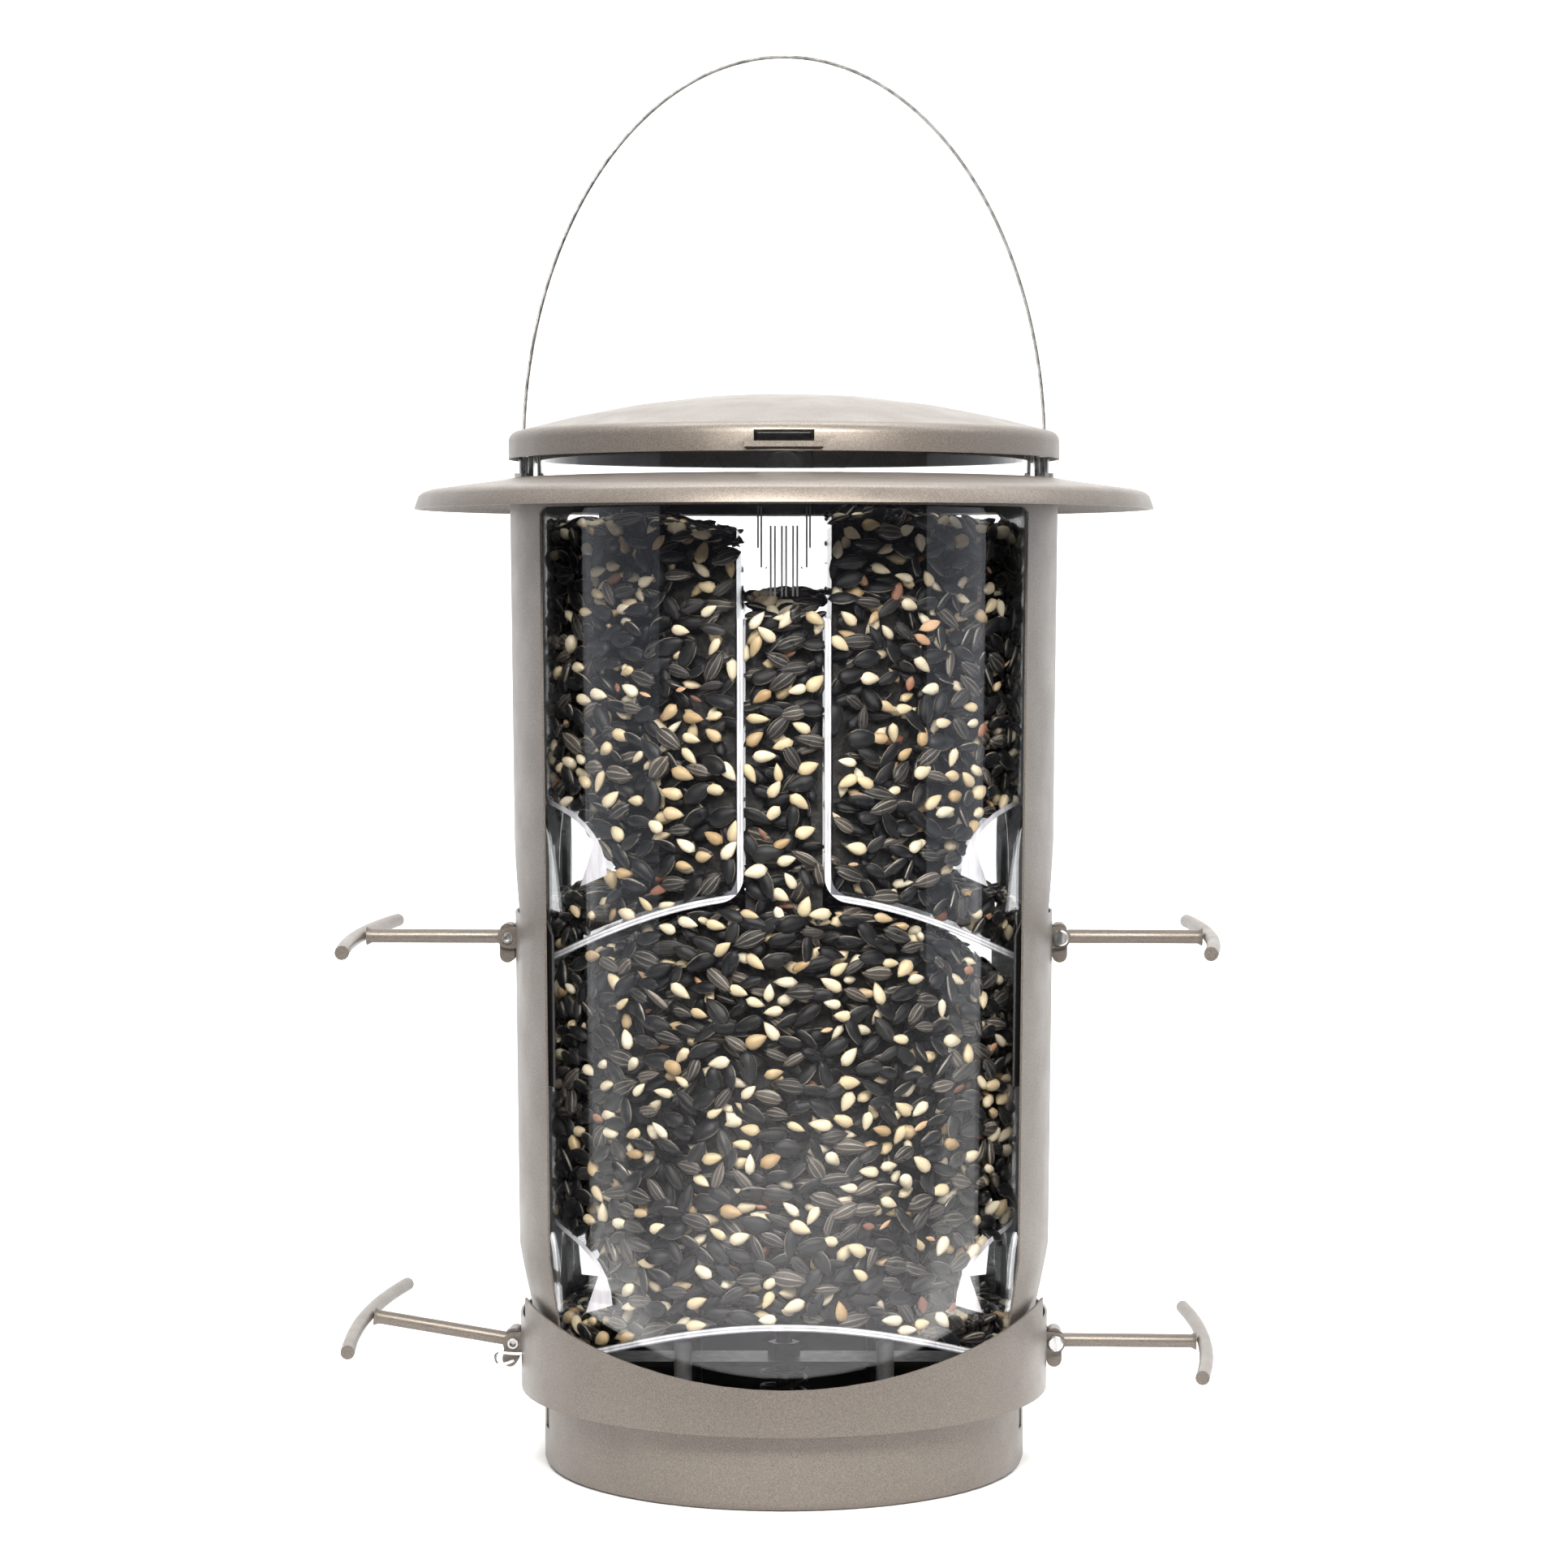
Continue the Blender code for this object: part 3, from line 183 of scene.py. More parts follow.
def colour_ramp(tree, value, stops):
    """A colour ramp through stops of (position, colour), in order."""
    node = tree.nodes.new("ShaderNodeValToRGB")
    elements = node.color_ramp.elements
    for element, (position, colour) in zip(elements, (stops[0], stops[-1])):
        element.position = position
        element.color = (*colour, 1.0)
    for position, colour in stops[1:-1]:
        elements.new(position).color = (*colour, 1.0)
    feed(tree, value, node.inputs["Fac"])
    return node.outputs["Color"]


def grey_stops(levels, blue=1.0):
    """Stops of plain grey from (position, level) pairs; blue scales the blue channel."""
    return [(position, (level, level, level * blue)) for position, level in levels]


def mix_colour(tree, share, first, second, blend="MIX"):
    node = tree.nodes.new("ShaderNodeMix")
    node.data_type = "RGBA"
    node.blend_type = blend
    feed(tree, share, node.inputs["Factor"])
    feed(tree, first, node.inputs["A"])
    feed(tree, second, node.inputs["B"])
    return node.outputs["Result"]


def mix_shader(tree, share, first, second):
    node = tree.nodes.new("ShaderNodeMixShader")
    tree.links.new(share, node.inputs["Fac"])
    tree.links.new(first, node.inputs[1])
    tree.links.new(second, node.inputs[2])
    return node.outputs[0]


def split_axes(tree, vector):
    """The X, Y and Z outputs of a vector."""
    node = tree.nodes.new("ShaderNodeSeparateXYZ")
    tree.links.new(vector, node.inputs["Vector"])
    return node.outputs["X"], node.outputs["Y"], node.outputs["Z"]


def place_output(tree, kind="Object"):
    return tree.nodes.new("ShaderNodeTexCoord").outputs[kind]


def empty_material(name):
    """A new material without nodes; its tree and the output node."""
    mat = bpy.data.materials.new(name)
    mat.use_nodes = True
    tree = mat.node_tree
    tree.nodes.clear()
    return mat, tree, tree.nodes.new("ShaderNodeOutputMaterial")


def principled(name, colour, roughness, metallic):
    mat = bpy.data.materials.new(name)
    mat.use_nodes = True
    shader = mat.node_tree.nodes["Principled BSDF"]
    shader.inputs["Base Color"].default_value = (*colour, 1.0)
    shader.inputs["Roughness"].default_value = roughness
    shader.inputs["Metallic"].default_value = metallic
    return mat, shader


def noise(mat, scale, detail=4.0, roughness=0.55, stretch=None):
    """Noise in object coordinates, drawn out where stretch is given."""
    tree = mat.node_tree
    node = tree.nodes.new("ShaderNodeTexNoise")
    node.inputs["Scale"].default_value = scale
    node.inputs["Detail"].default_value = detail
    node.inputs["Roughness"].default_value = roughness
    place = place_output(tree)
    if stretch is not None:
        mapping = tree.nodes.new("ShaderNodeMapping")
        mapping.inputs["Scale"].default_value = stretch
        tree.links.new(place, mapping.inputs["Vector"])
        place = mapping.outputs["Vector"]
    tree.links.new(place, node.inputs["Vector"])
    return node.outputs["Fac"]


def mapped_colour(mat, shader, source, low, high, start=0.35, end=0.65):
    tree = mat.node_tree
    shade = colour_ramp(tree, source, ((start, low), (end, high)))
    tree.links.new(shade, shader.inputs["Base Color"])


def mapped_roughness(mat, shader, source, low, high):
    tree = mat.node_tree
    tree.links.new(map_range(tree, source, 0.3, 0.7, low, high), shader.inputs["Roughness"])


def bumped(mat, shader, source, strength, distance):
    tree = mat.node_tree
    bump = tree.nodes.new("ShaderNodeBump")
    bump.inputs["Strength"].default_value = strength
    bump.inputs["Distance"].default_value = distance
    tree.links.new(source, bump.inputs["Height"])
    tree.links.new(bump.outputs["Normal"], shader.inputs["Normal"])


# ------------------------------------------------------------------ camera, light and floor


def add_camera():
    bpy.context.scene.view_settings.view_transform = "Standard"
    data = bpy.data.cameras.new("camera")
    data.lens = LENS
    data.sensor_width = SENSOR
    camera = bpy.data.objects.new("camera", data)
    camera.location = (0.0, -CAMERA_AWAY, CAMERA_Z)
    camera.rotation_euler = (math.pi / 2.0 - CAMERA_DOWN, 0.0, 0.0)
    bpy.context.scene.collection.objects.link(camera)
    bpy.context.scene.camera = camera


def softbox(name, at, aim, width, height, watts, colour=(1.0, 1.0, 1.0)):
    data = bpy.data.lights.new(name, "AREA")
    data.shape = "RECTANGLE"
    data.size = width
    data.size_y = height
    data.energy = watts
    data.color = colour
    light = bpy.data.objects.new(name, data)
    light.location = at
    direction = Vector(aim) - Vector(at)
    light.rotation_euler = direction.to_track_quat("-Z", "Y").to_euler()
    light.visible_camera = False
    light.visible_transmission = False
    bpy.context.scene.collection.objects.link(light)


def add_studio():
    cool = (0.84, 0.89, 1.0)
    warm = (1.0, 0.95, 0.88)
    low = (0.0, 0.0, 0.2)
    middle = (0.0, 0.0, 0.25)
    softbox("left", (-1.25, 0.13, 0.55), low, 2.1, 1.5, 4.4, cool)
    softbox("right", (1.25, 0.18, 0.55), low, 1.6, 1.5, 4.6, cool)
    softbox("left_high", (-1.0, -0.1, 1.3), low, 0.5, 0.5, 1.2)
    softbox("right_high", (1.0, -0.1, 1.3), low, 0.5, 0.5, 3.6)
    softbox("top", (0.0, 0.1, 1.5), low, 1.2, 1.2, 7.5)
    softbox("front", (-0.2, -1.15, 1.25), middle, 0.6, 0.6, 13.0, warm)
    softbox("front_low", (0.1, -0.85, 0.72), middle, 0.9, 0.2, 17.0, warm)
    softbox("sweep", (0.0, 0.2, 2.2), (0.0, 1.1, 0.6), 2.4, 0.8, 40.0)


def background(tree, colour, strength):
    node = tree.nodes.new("ShaderNodeBackground")
    feed(tree, colour, node.inputs["Color"])
    node.inputs["Strength"].default_value = strength
    return node.outputs[0]


def add_world():
    """White to the eye, also through the tube; a dim fill on matt faces; dark in front in mirrors."""
    world = bpy.data.worlds.new("studio")
    bpy.context.scene.world = world
    world.use_nodes = True
    tree = world.node_tree
    tree.nodes.clear()
    out = tree.nodes.new("ShaderNodeOutputWorld")
    _, depth, _ = split_axes(tree, place_output(tree, "Generated"))
    backward = math_node(tree, "MULTIPLY_ADD", depth, 0.5, 0.5)
    shade = colour_ramp(tree, backward, ((0.42, (0.035, 0.035, 0.042)), (0.8, (0.46, 0.47, 0.49))))
    seen = background(tree, (1.0, 1.0, 1.0, 1.0), 1.0)
    fill = background(tree, (0.93, 0.96, 1.0, 1.0), FILL)
    mirrored = background(tree, shade, 1.0)
    path = tree.nodes.new("ShaderNodeLightPath")
    matt = math_node(tree, "GREATER_THAN", path.outputs["Diffuse Depth"], 0.5)
    shiny = math_node(tree, "GREATER_THAN", path.outputs["Glossy Depth"], 0.5)
    unfilled = mix_shader(tree, shiny, seen, mirrored)
    tree.links.new(mix_shader(tree, matt, unfilled, fill), out.inputs["Surface"])


def floor_material():
    """Pale, with painted shade: darker towards the camera and darker still at both sides in front of the
    object, so that the clear tube mirrors it dark.
    """
    mat, shader = principled("floor", (0.92, 0.92, 0.92), 0.7, 0.0)
    tree = mat.node_tree
    side, depth, _ = split_axes(tree, place_output(tree))
    # Painted shade on the floor: near black under the camera, grey in front, darker beside the object,
    # pale behind it.
    stops = grey_stops(((0.55, 0.30), (0.80, 0.34), (0.95, 0.40)), 1.06)
    stops = [(0.0, (0.03, 0.03, 0.03))] + stops + [(1.0, (0.92, 0.92, 0.92))]
    shade = colour_ramp(tree, map_range(tree, depth, -1.3, -0.15), stops)
    beside = map_range(tree, math_node(tree, "ABSOLUTE", side), 0.32, 0.60, 1.0, 0.35)
    behind = map_range(tree, depth, 0.15, 0.45)
    level = math_node(tree, "MAXIMUM", beside, behind)
    tree.links.new(mix_colour(tree, 1.0, shade, level, "MULTIPLY"), shader.inputs["Base Color"])
    return mat


def add_floor():
    """A pale table whose front edge lies under the camera and whose back sweeps up."""
    profile = [(-CAMERA_AWAY, 0.0), (TABLE_BACK_Y, 0.0)]
    for i in range(1, SWEEP_STEPS + 1):
        turn = math.radians(90.0 * i / SWEEP_STEPS)
        y = TABLE_BACK_Y + SWEEP_R * math.sin(turn)
        profile.append((y, SWEEP_R * (1.0 - math.cos(turn))))
    profile.append((TABLE_BACK_Y + SWEEP_R, SWEEP_TOP_Z))
    verts = [(x, y, z) for y, z in profile for x in (-TABLE_HALF, TABLE_HALF)]
    faces = [(2 * i, 2 * i + 1, 2 * i + 3, 2 * i + 2) for i in range(len(profile) - 1)]
    mesh_object("floor", verts, faces, floor_material())


# ------------------------------------------------------------------ materials


def metallic_powder_coat(name, painted_shade_inside):
    """Warm grey powder coat with fine metal flake and a slight orange peel; painted shade inside: near
    black on the faces that look in towards the axis.
    """
    mat, shader = principled(name, (0.27, 0.245, 0.22), 0.42, 0.55)
    tree = mat.node_tree
    flake = noise(mat, 2600.0, 2.0, 0.6)
    coat = colour_ramp(tree, flake, ((0.36, (0.118, 0.104, 0.092)), (0.66, (0.20, 0.178, 0.158))))
    # Painted shade: faces that look in towards the axis are mixed to near black, for the shade inside the
    # shroud and the base cup.
    if painted_shade_inside:
        coat = mix_colour(tree, inward_mask(mat), coat, (0.012, 0.012, 0.013, 1.0))
    tree.links.new(coat, shader.inputs["Base Color"])
    mapped_roughness(mat, shader, noise(mat, 60.0, 3.0), 0.36, 0.46)
    bumped(mat, shader, noise(mat, 900.0, 3.0), 0.22, 0.00012)
    return mat


def outward_dot(mat):
    """How far a face looks away from the upright axis, -1 to 1; the way out from the axis; backfacing."""
    tree = mat.node_tree
    flat = tree.nodes.new("ShaderNodeVectorMath")
    flat.operation = "MULTIPLY"
    flat.inputs[1].default_value = (1.0, 1.0, 0.0)
    tree.links.new(place_output(tree), flat.inputs[0])
    outward = tree.nodes.new("ShaderNodeVectorMath")
    outward.operation = "NORMALIZE"
    tree.links.new(flat.outputs["Vector"], outward.inputs[0])
    facing = tree.nodes.new("ShaderNodeNewGeometry")
    dot = tree.nodes.new("ShaderNodeVectorMath")
    dot.operation = "DOT_PRODUCT"
    tree.links.new(facing.outputs["True Normal"], dot.inputs[0])
    tree.links.new(outward.outputs["Vector"], dot.inputs[1])
    return dot.outputs["Value"], flat.outputs["Vector"], facing.outputs["Backfacing"]


def inward_mask(mat):
    """1 on faces that look in towards the axis."""
    dot, _, _ = outward_dot(mat)
    return math_node(mat.node_tree, "LESS_THAN", dot, -0.5)


def rim_mask(mat):
    """1 on faces near the tube wall that look straight out from the axis: the sheets' cut edges."""
    tree = mat.node_tree
    dot, flat, back = outward_dot(mat)
    length = tree.nodes.new("ShaderNodeVectorMath")
    length.operation = "LENGTH"
    tree.links.new(flat, length.inputs[0])
    straight = math_node(tree, "GREATER_THAN", dot, 0.75)
    at_wall = math_node(tree, "COMPARE", length.outputs["Value"], RIM_R, RIM_REACH)
    front = math_node(tree, "SUBTRACT", 1.0, back)
    return math_node(tree, "MULTIPLY", math_node(tree, "MULTIPLY", straight, at_wall), front)


def mirror_share(mat, head_on, grazing):
    """Schlick's share of mirrored light, the same on both faces of a thin wall."""
    tree = mat.node_tree
    weight = tree.nodes.new("ShaderNodeLayerWeight")
    weight.inputs["Blend"].default_value = 0.5
    power = math_node(tree, "POWER", weight.outputs["Facing"], 5.0)
    return math_node(tree, "MULTIPLY_ADD", power, grazing, head_on)


def clear_moulding(name, tint, roughness):
    """Solid clear plastic that bends light. Lamps shine through it, so what is inside is lit."""
    mat, shader = principled(name, tint, roughness, 0.0)
    shader.inputs["IOR"].default_value = 1.58
    shader.inputs["Transmission Weight"].default_value = 1.0
    tree = mat.node_tree
    wave = noise(mat, 22.0, 2.0, 0.5, (1.0, 1.0, 0.35))
    bumped(mat, shader, wave, 0.12, 0.0004)
    mapped_colour(mat, shader, wave, tint, (1.0, 1.0, 1.0), 0.2, 0.8)
    lamps = tree.nodes.new("ShaderNodeBsdfTransparent")
    lamps.inputs["Color"].default_value = (0.93, 0.94, 0.95, 1.0)
    path = tree.nodes.new("ShaderNodeLightPath")
    mixed = mix_shader(tree, path.outputs["Is Shadow Ray"], shader.outputs[0], lamps.outputs[0])
    tree.links.new(mixed, tree.nodes["Material Output"].inputs["Surface"])
    return mat


def outlined_clear(name, tint, line):
    """Small clear parts: nearly invisible faces with painted dark outlines as the shade at their edges.
    """
    mat, tree, out = empty_material(name)
    haze = noise(mat, 300.0, 2.0, 0.5, (1.0, 1.0, 0.2))
    through = tree.nodes.new("ShaderNodeBsdfTransparent")
    shade = colour_ramp(tree, haze, ((0.3, tint), (0.7, (0.98, 0.98, 0.985))))
    tree.links.new(shade, through.inputs["Color"])
    gloss = tree.nodes.new("ShaderNodeBsdfGlossy")
    gloss.inputs["Roughness"].default_value = 0.08
    wall = mix_shader(tree, mirror_share(mat, 0.03, 0.5), through.outputs[0], gloss.outputs[0])
    edge = tree.nodes.new("ShaderNodeBsdfPrincipled")
    edge.inputs["Base Color"].default_value = (*line, 1.0)
    edge.inputs["Roughness"].default_value = 0.35
    # Painted shade: dark outlines mixed in along the latch guide's ribs and slots.
    share = math_node(tree, "MULTIPLY", painted_latch_outlines(mat), 0.85)
    tree.links.new(mix_shader(tree, share, wall, edge.outputs[0]), out.inputs["Surface"])
    return mat


def painted_latch_outlines(mat):
    """1 along the painted dark outlines of the ribs and slots moulded in the latch guide."""
    tree = mat.node_tree
    side, _, up = split_axes(tree, place_output(tree))
    away = math_node(tree, "ABSOLUTE", side)
    total = None
    for line_x, low, high in PAINTED_LATCH_OUTLINES:
        near = math_node(tree, "COMPARE", away, line_x * MM, PAINTED_OUTLINE_HALF)
        above = math_node(tree, "GREATER_THAN", up, low * MM)
        below = math_node(tree, "LESS_THAN", up, high * MM)
        share = math_node(tree, "MULTIPLY", near, math_node(tree, "MULTIPLY", above, below))
        total = share if total is None else math_node(tree, "MAXIMUM", total, share)
    return total


def sheet_bands(mat, shape):
    """0 in the middle of a bent sheet's thickness and 1 at its faces, for the floor or the chutes."""
    tree = mat.node_tree
    side, _, up = split_axes(tree, place_output(tree))
    away = math_node(tree, "ABSOLUTE", side)
    square = math_node(tree, "MULTIPLY", away, away)
    half = CHUTE_WALL / 2.0
    top, fall = (FLOOR_TOP, FLOOR_FALL) if shape == "floor" else (BAFFLE_TOP, BAFFLE_FALL)
    middle = math_node(tree, "SUBTRACT", top - half, math_node(tree, "MULTIPLY", square, fall))
    apart = math_node(tree, "ABSOLUTE", math_node(tree, "SUBTRACT", up, middle))
    if shape == "chute":
        beside = math_node(tree, "ABSOLUTE", math_node(tree, "SUBTRACT", away, CHUTE_FACE + half))
        apart = math_node(tree, "MINIMUM", math_node(tree, "MULTIPLY", apart, 0.94), beside)
    return math_node(tree, "DIVIDE", apart, half)


def clear_sheet(name, shape, edge_low, edge_high, painted_glow):
    """Thin clear sheet inside the tube: it passes light; its cut edges are frosted grey with a painted
    glow and painted dark outlines, in place of the light the sheet carries and the shade at its faces.
    """
    mat, tree, out = empty_material(name)
    through = tree.nodes.new("ShaderNodeBsdfTransparent")
    through.inputs["Color"].default_value = (0.955, 0.962, 0.968, 1.0)
    gloss = tree.nodes.new("ShaderNodeBsdfGlossy")
    gloss.inputs["Color"].default_value = (1.0, 1.0, 1.0, 1.0)
    gloss.inputs["Roughness"].default_value = 0.06
    bumped(mat, gloss, noise(mat, 22.0, 2.0, 0.5, (1.0, 1.0, 0.35)), 0.25, 0.0006)
    wall = mix_shader(tree, mirror_share(mat, 0.04, 0.6), through.outputs[0], gloss.outputs[0])
    edge = tree.nodes.new("ShaderNodeBsdfPrincipled")
    edge.inputs["Roughness"].default_value = 0.28
    # Painted glow: the cut edges give off light by emission, for the light the sheet carries along.
    edge.inputs["Emission Strength"].default_value = painted_glow
    streak = noise(mat, 260.0, 3.0, 0.6, (1.0, 1.0, 0.3))
    shade = colour_ramp(tree, streak, ((0.36, edge_low), (0.6, edge_high)))
    # Painted shade: dark outlines at the faces of the sheet's thickness, a bright band between them.
    stops = grey_stops(((0.16, 0.42), (0.3, 1.0), (0.66, 0.95), (0.82, 0.35)))
    stops = [(0.0, (0.50, 0.50, 0.52))] + stops + [(1.0, (0.12, 0.12, 0.14))]
    bands = colour_ramp(tree, sheet_bands(mat, shape) if shape else 0.5, stops)
    lined = mix_colour(tree, 1.0, shade, bands, "MULTIPLY")
    tree.links.new(lined, edge.inputs["Base Color"])
    tree.links.new(lined, edge.inputs["Emission Color"])
    tree.links.new(mix_shader(tree, rim_mask(mat), wall, edge.outputs[0]), out.inputs["Surface"])
    return mat


def zinc_steel():
    """Bright zinc plate with fine drawing marks."""
    mat, shader = principled("zinc_steel", (0.62, 0.62, 0.61), 0.28, 1.0)
    draw = noise(mat, 500.0, 3.0, 0.6, (1.0, 1.0, 0.15))
    mapped_colour(mat, shader, draw, (0.46, 0.46, 0.46), (0.74, 0.74, 0.73))
    mapped_roughness(mat, shader, draw, 0.2, 0.36)
    bumped(mat, shader, draw, 0.1, 0.0001)
    return mat


def dark_steel():
    """Near black steel for the mechanism inside the base."""
    mat, shader = principled("dark_steel", (0.02, 0.02, 0.02), 0.4, 0.6)
    tone = noise(mat, 250.0, 3.0)
    mapped_colour(mat, shader, tone, (0.010, 0.010, 0.011), (0.028, 0.027, 0.027))
    mapped_roughness(mat, shader, tone, 0.34, 0.5)
    return mat


def cable_steel():
    mat, shader = principled("cable_steel", (0.5, 0.5, 0.5), 0.3, 1.0)
    tone = noise(mat, 300.0, 2.0)
    mapped_colour(mat, shader, tone, (0.12, 0.12, 0.12), (0.30, 0.30, 0.30))
    mapped_roughness(mat, shader, tone, 0.3, 0.45)
    return mat


def black_plastic():
    mat, shader = principled("black_plastic", (0.02, 0.02, 0.021), 0.45, 0.0)
    grain = noise(mat, 1200.0, 3.0)
    mapped_colour(mat, shader, grain, (0.015, 0.015, 0.016), (0.03, 0.03, 0.031))
    bumped(mat, shader, grain, 0.2, 0.0001)
    return mat


def seed_material(name, colours, edge, stripe, stripes, roughness):
    """Seed hull: a pale line along both edges and stripes lengthwise, in a tone of each seed's own.

    The UV map runs across the seed in X and along it in Y, and the attribute "tone" is 0 to 1.
    """
    mat, shader = principled(name, colours[0][1], roughness, 0.0)
    shader.inputs["Specular IOR Level"].default_value = 0.35
    tree = mat.node_tree
    uv = tree.nodes.new("ShaderNodeUVMap")
    uv.uv_map = "seed"
    place, _, _ = split_axes(tree, uv.outputs["UV"])
    attribute = tree.nodes.new("ShaderNodeAttribute")
    attribute.attribute_name = "tone"
    tone = attribute.outputs["Fac"]
    base = colour_ramp(tree, tone, colours)
    blotch = noise(mat, 260.0, 2.0)
    across = math_node(tree, "ABSOLUTE", math_node(tree, "SUBTRACT", place, 0.5))
    rim_share = math_node(tree, "MULTIPLY", map_range(tree, across, 0.455, 0.485), blotch)
    shifted = math_node(tree, "ADD", math_node(tree, "MULTIPLY", place, stripes), tone)
    wave = math_node(tree, "SINE", math_node(tree, "MULTIPLY", shifted, 6.283))
    lined = map_range(tree, wave, 0.72, 0.98)
    often = map_range(tree, tone, 0.62, 1.0, 0.0, 0.85)
    striped = mix_colour(tree, math_node(tree, "MULTIPLY", lined, often), base, (*stripe, 1.0))
    edged = mix_colour(tree, rim_share, striped, (*edge, 1.0))
    tree.links.new(edged, shader.inputs["Base Color"])
    mapped_roughness(mat, shader, blotch, roughness - 0.1, roughness + 0.12)
    bumped(mat, shader, noise(mat, 700.0, 3.0), 0.4, 0.0003)
    return mat


# ------------------------------------------------------------------ mesh helpers


def mesh_object(name, verts, faces, mat, smooth=True):
    mesh = bpy.data.meshes.new(name)
    mesh.from_pydata([tuple(v) for v in verts], [], [tuple(f) for f in faces])
    mesh.polygons.foreach_set("use_smooth", [smooth] * len(mesh.polygons))
    mesh.materials.append(mat)
    obj = bpy.data.objects.new(name, mesh)
    bpy.context.scene.collection.objects.link(obj)
    return obj


def tube_mesh(rings):
    """Vertices and faces of a closed tube through rings of points, with its ends filled."""
    count = len(rings[0])
    verts = [p for ring in rings for p in ring]
    faces = []
    for i in range(len(rings) - 1):
        for j in range(count):
            k = (j + 1) % count
            low = i * count
            high = low + count
            faces.append((low + j, low + k, high + k, high + j))
    faces.append(tuple(reversed(range(count))))
    last = (len(rings) - 1) * count
    faces.append(tuple(last + j for j in range(count)))
    return verts, faces


def ring_points(middle, radius, first, second, sides):
    """A circle of points about middle, in the plane of two unit directions."""
    points = []
    for j in range(sides):
        turn = 2.0 * math.pi * j / sides
        points.append(middle + radius * (math.cos(turn) * first + math.sin(turn) * second))
    return points


def smooth_cad(node, mat, degrees=38.0):
    """A finish and smooth shading on a CAD node. Its vertices stay where they are."""
    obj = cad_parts[node]
    mesh = obj.data
    mesh.materials.clear()
    mesh.materials.append(mat)
    if "custom_normal" in mesh.attributes:
        mesh.attributes.remove(mesh.attributes["custom_normal"])
    weld = obj.modifiers.new("weld", "WELD")
    weld.merge_threshold = 1e-6
    mesh.polygons.foreach_set("use_smooth", [True] * len(mesh.polygons))
    split = obj.modifiers.new("edges", "EDGE_SPLIT")
    split.split_angle = math.radians(degrees)
    split.use_edge_sharp = False


# ------------------------------------------------------------------ wire rope and return spring


def cable_points(count):
    """The rope's centreline: a tall half ellipse between the two brackets."""
    low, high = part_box("hanger_cable")
    half = (high.x - low.x) / 2.0 - CABLE_D / 2.0
    base = low.z
    rise = high.z - CABLE_D / 2.0 - base
    points = []
    for i in range(count):
        turn = math.pi * (1.0 - i / (count - 1))
        points.append(Vector((half * math.cos(turn), 0.0, base + rise * math.sin(turn))))
    return points


def even_points(points, step):
    """The same line with points spaced evenly, about a step apart; and its length."""
    lengths = [0.0]
    for a, b in zip(points, points[1:]):
        lengths.append(lengths[-1] + (b - a).length)
    total = lengths[-1]
    count = int(round(total / step))
    result = []
    j = 0
    for i in range(count + 1):
        want = total * i / count
        while j < len(points) - 2 and lengths[j + 1] < want:
            j += 1
        share = (want - lengths[j]) / (lengths[j + 1] - lengths[j])
        result.append(points[j].lerp(points[j + 1], min(max(share, 0.0), 1.0)))
    return result, total


def strand_rings(path, length, strand):
    """Rings along one strand. Strand 0 is the straight core; the others wind round it."""
    side_axis = Vector((0.0, 1.0, 0.0))
    rings = []
    for i, centre in enumerate(path):
        before = path[max(i - 1, 0)]
        after = path[min(i + 1, len(path) - 1)]
        along = (after - before).normalized()
        across = along.cross(side_axis).normalized()
        travel = length * i / (len(path) - 1)
        middle = centre
        if strand:
            turn = 2.0 * math.pi * (travel / LAY_LENGTH + strand / (STRANDS - 1))
            middle = centre + STRAND_D * (math.cos(turn) * across + math.sin(turn) * side_axis)
        rings.append(ring_points(middle, STRAND_D / 2.0, across, side_axis, STRAND_SIDES))
    return rings


def wire_rope(mat):
    path, length = even_points(cable_points(CABLE_FINE), CABLE_STEP)
    verts = []
    faces = []
    for strand in range(STRANDS):
        more_verts, more_faces = tube_mesh(strand_rings(path, length, strand))
        faces += [tuple(len(verts) + k for k in face) for face in more_faces]
        verts += more_verts
    rope = mesh_object("wire_rope", verts, faces, mat)
    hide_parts("hanger_cable")
    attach(rope, "hopper")


def spring_coil(mat):
    """The return spring, which shortens as the shroud drops."""
    low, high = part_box("return_spring")
    up = Vector((0.0, 0.0, 1.0))
    radius = (high.x - low.x) / 2.0 - SPRING_WIRE_R
    start = low.z + SPRING_WIRE_R
    rise = high.z - low.z - 2.0 * SPRING_WIRE_R
    steps = SPRING_TURNS * SPRING_STEPS
    rings = []
    for i in range(steps + 1):
        turn = 2.0 * math.pi * SPRING_TURNS * i / steps
        outward = Vector((math.cos(turn), math.sin(turn), 0.0))
        middle = radius * outward + (start + rise * i / steps) * up
        rings.append(ring_points(middle, SPRING_WIRE_R, outward, up, SPRING_SIDES))
    verts, faces = tube_mesh(rings)
    coil = mesh_object("return_spring_coil", verts, faces, mat)
    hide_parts("return_spring")
    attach(coil, "hopper")
    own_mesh(coil)


# ------------------------------------------------------------------ where the seed lies


def bore(z):
    """Inner radius of the tube at a height."""
    return TUBE_R0 + TUBE_DRAFT * z - TUBE_WALL


def baffle(x):
    return BAFFLE_TOP - BAFFLE_FALL * x * x


def floor_top(x):
    return FLOOR_TOP - FLOOR_FALL * x * x


def hood_crown(x, drop):
    """Height of an awning's crown over a place x from the axis."""
    share = min(max((HOOD_OUT_X - x) / (HOOD_OUT_X - HOOD_IN_X), 0.0), 1.0)
    rise = HOOD_TOP - HOOD_MID_Z
    return HOOD_MID_Z - drop + rise * math.sqrt(1.0 - share * share)


def under_hood(x, drop):
    """Top of the seed that slopes from under an awning's nose to its port."""
    return (PORT_SEED_Z - drop) - 0.35 * max(x - PORT_SEED_X, 0.0)


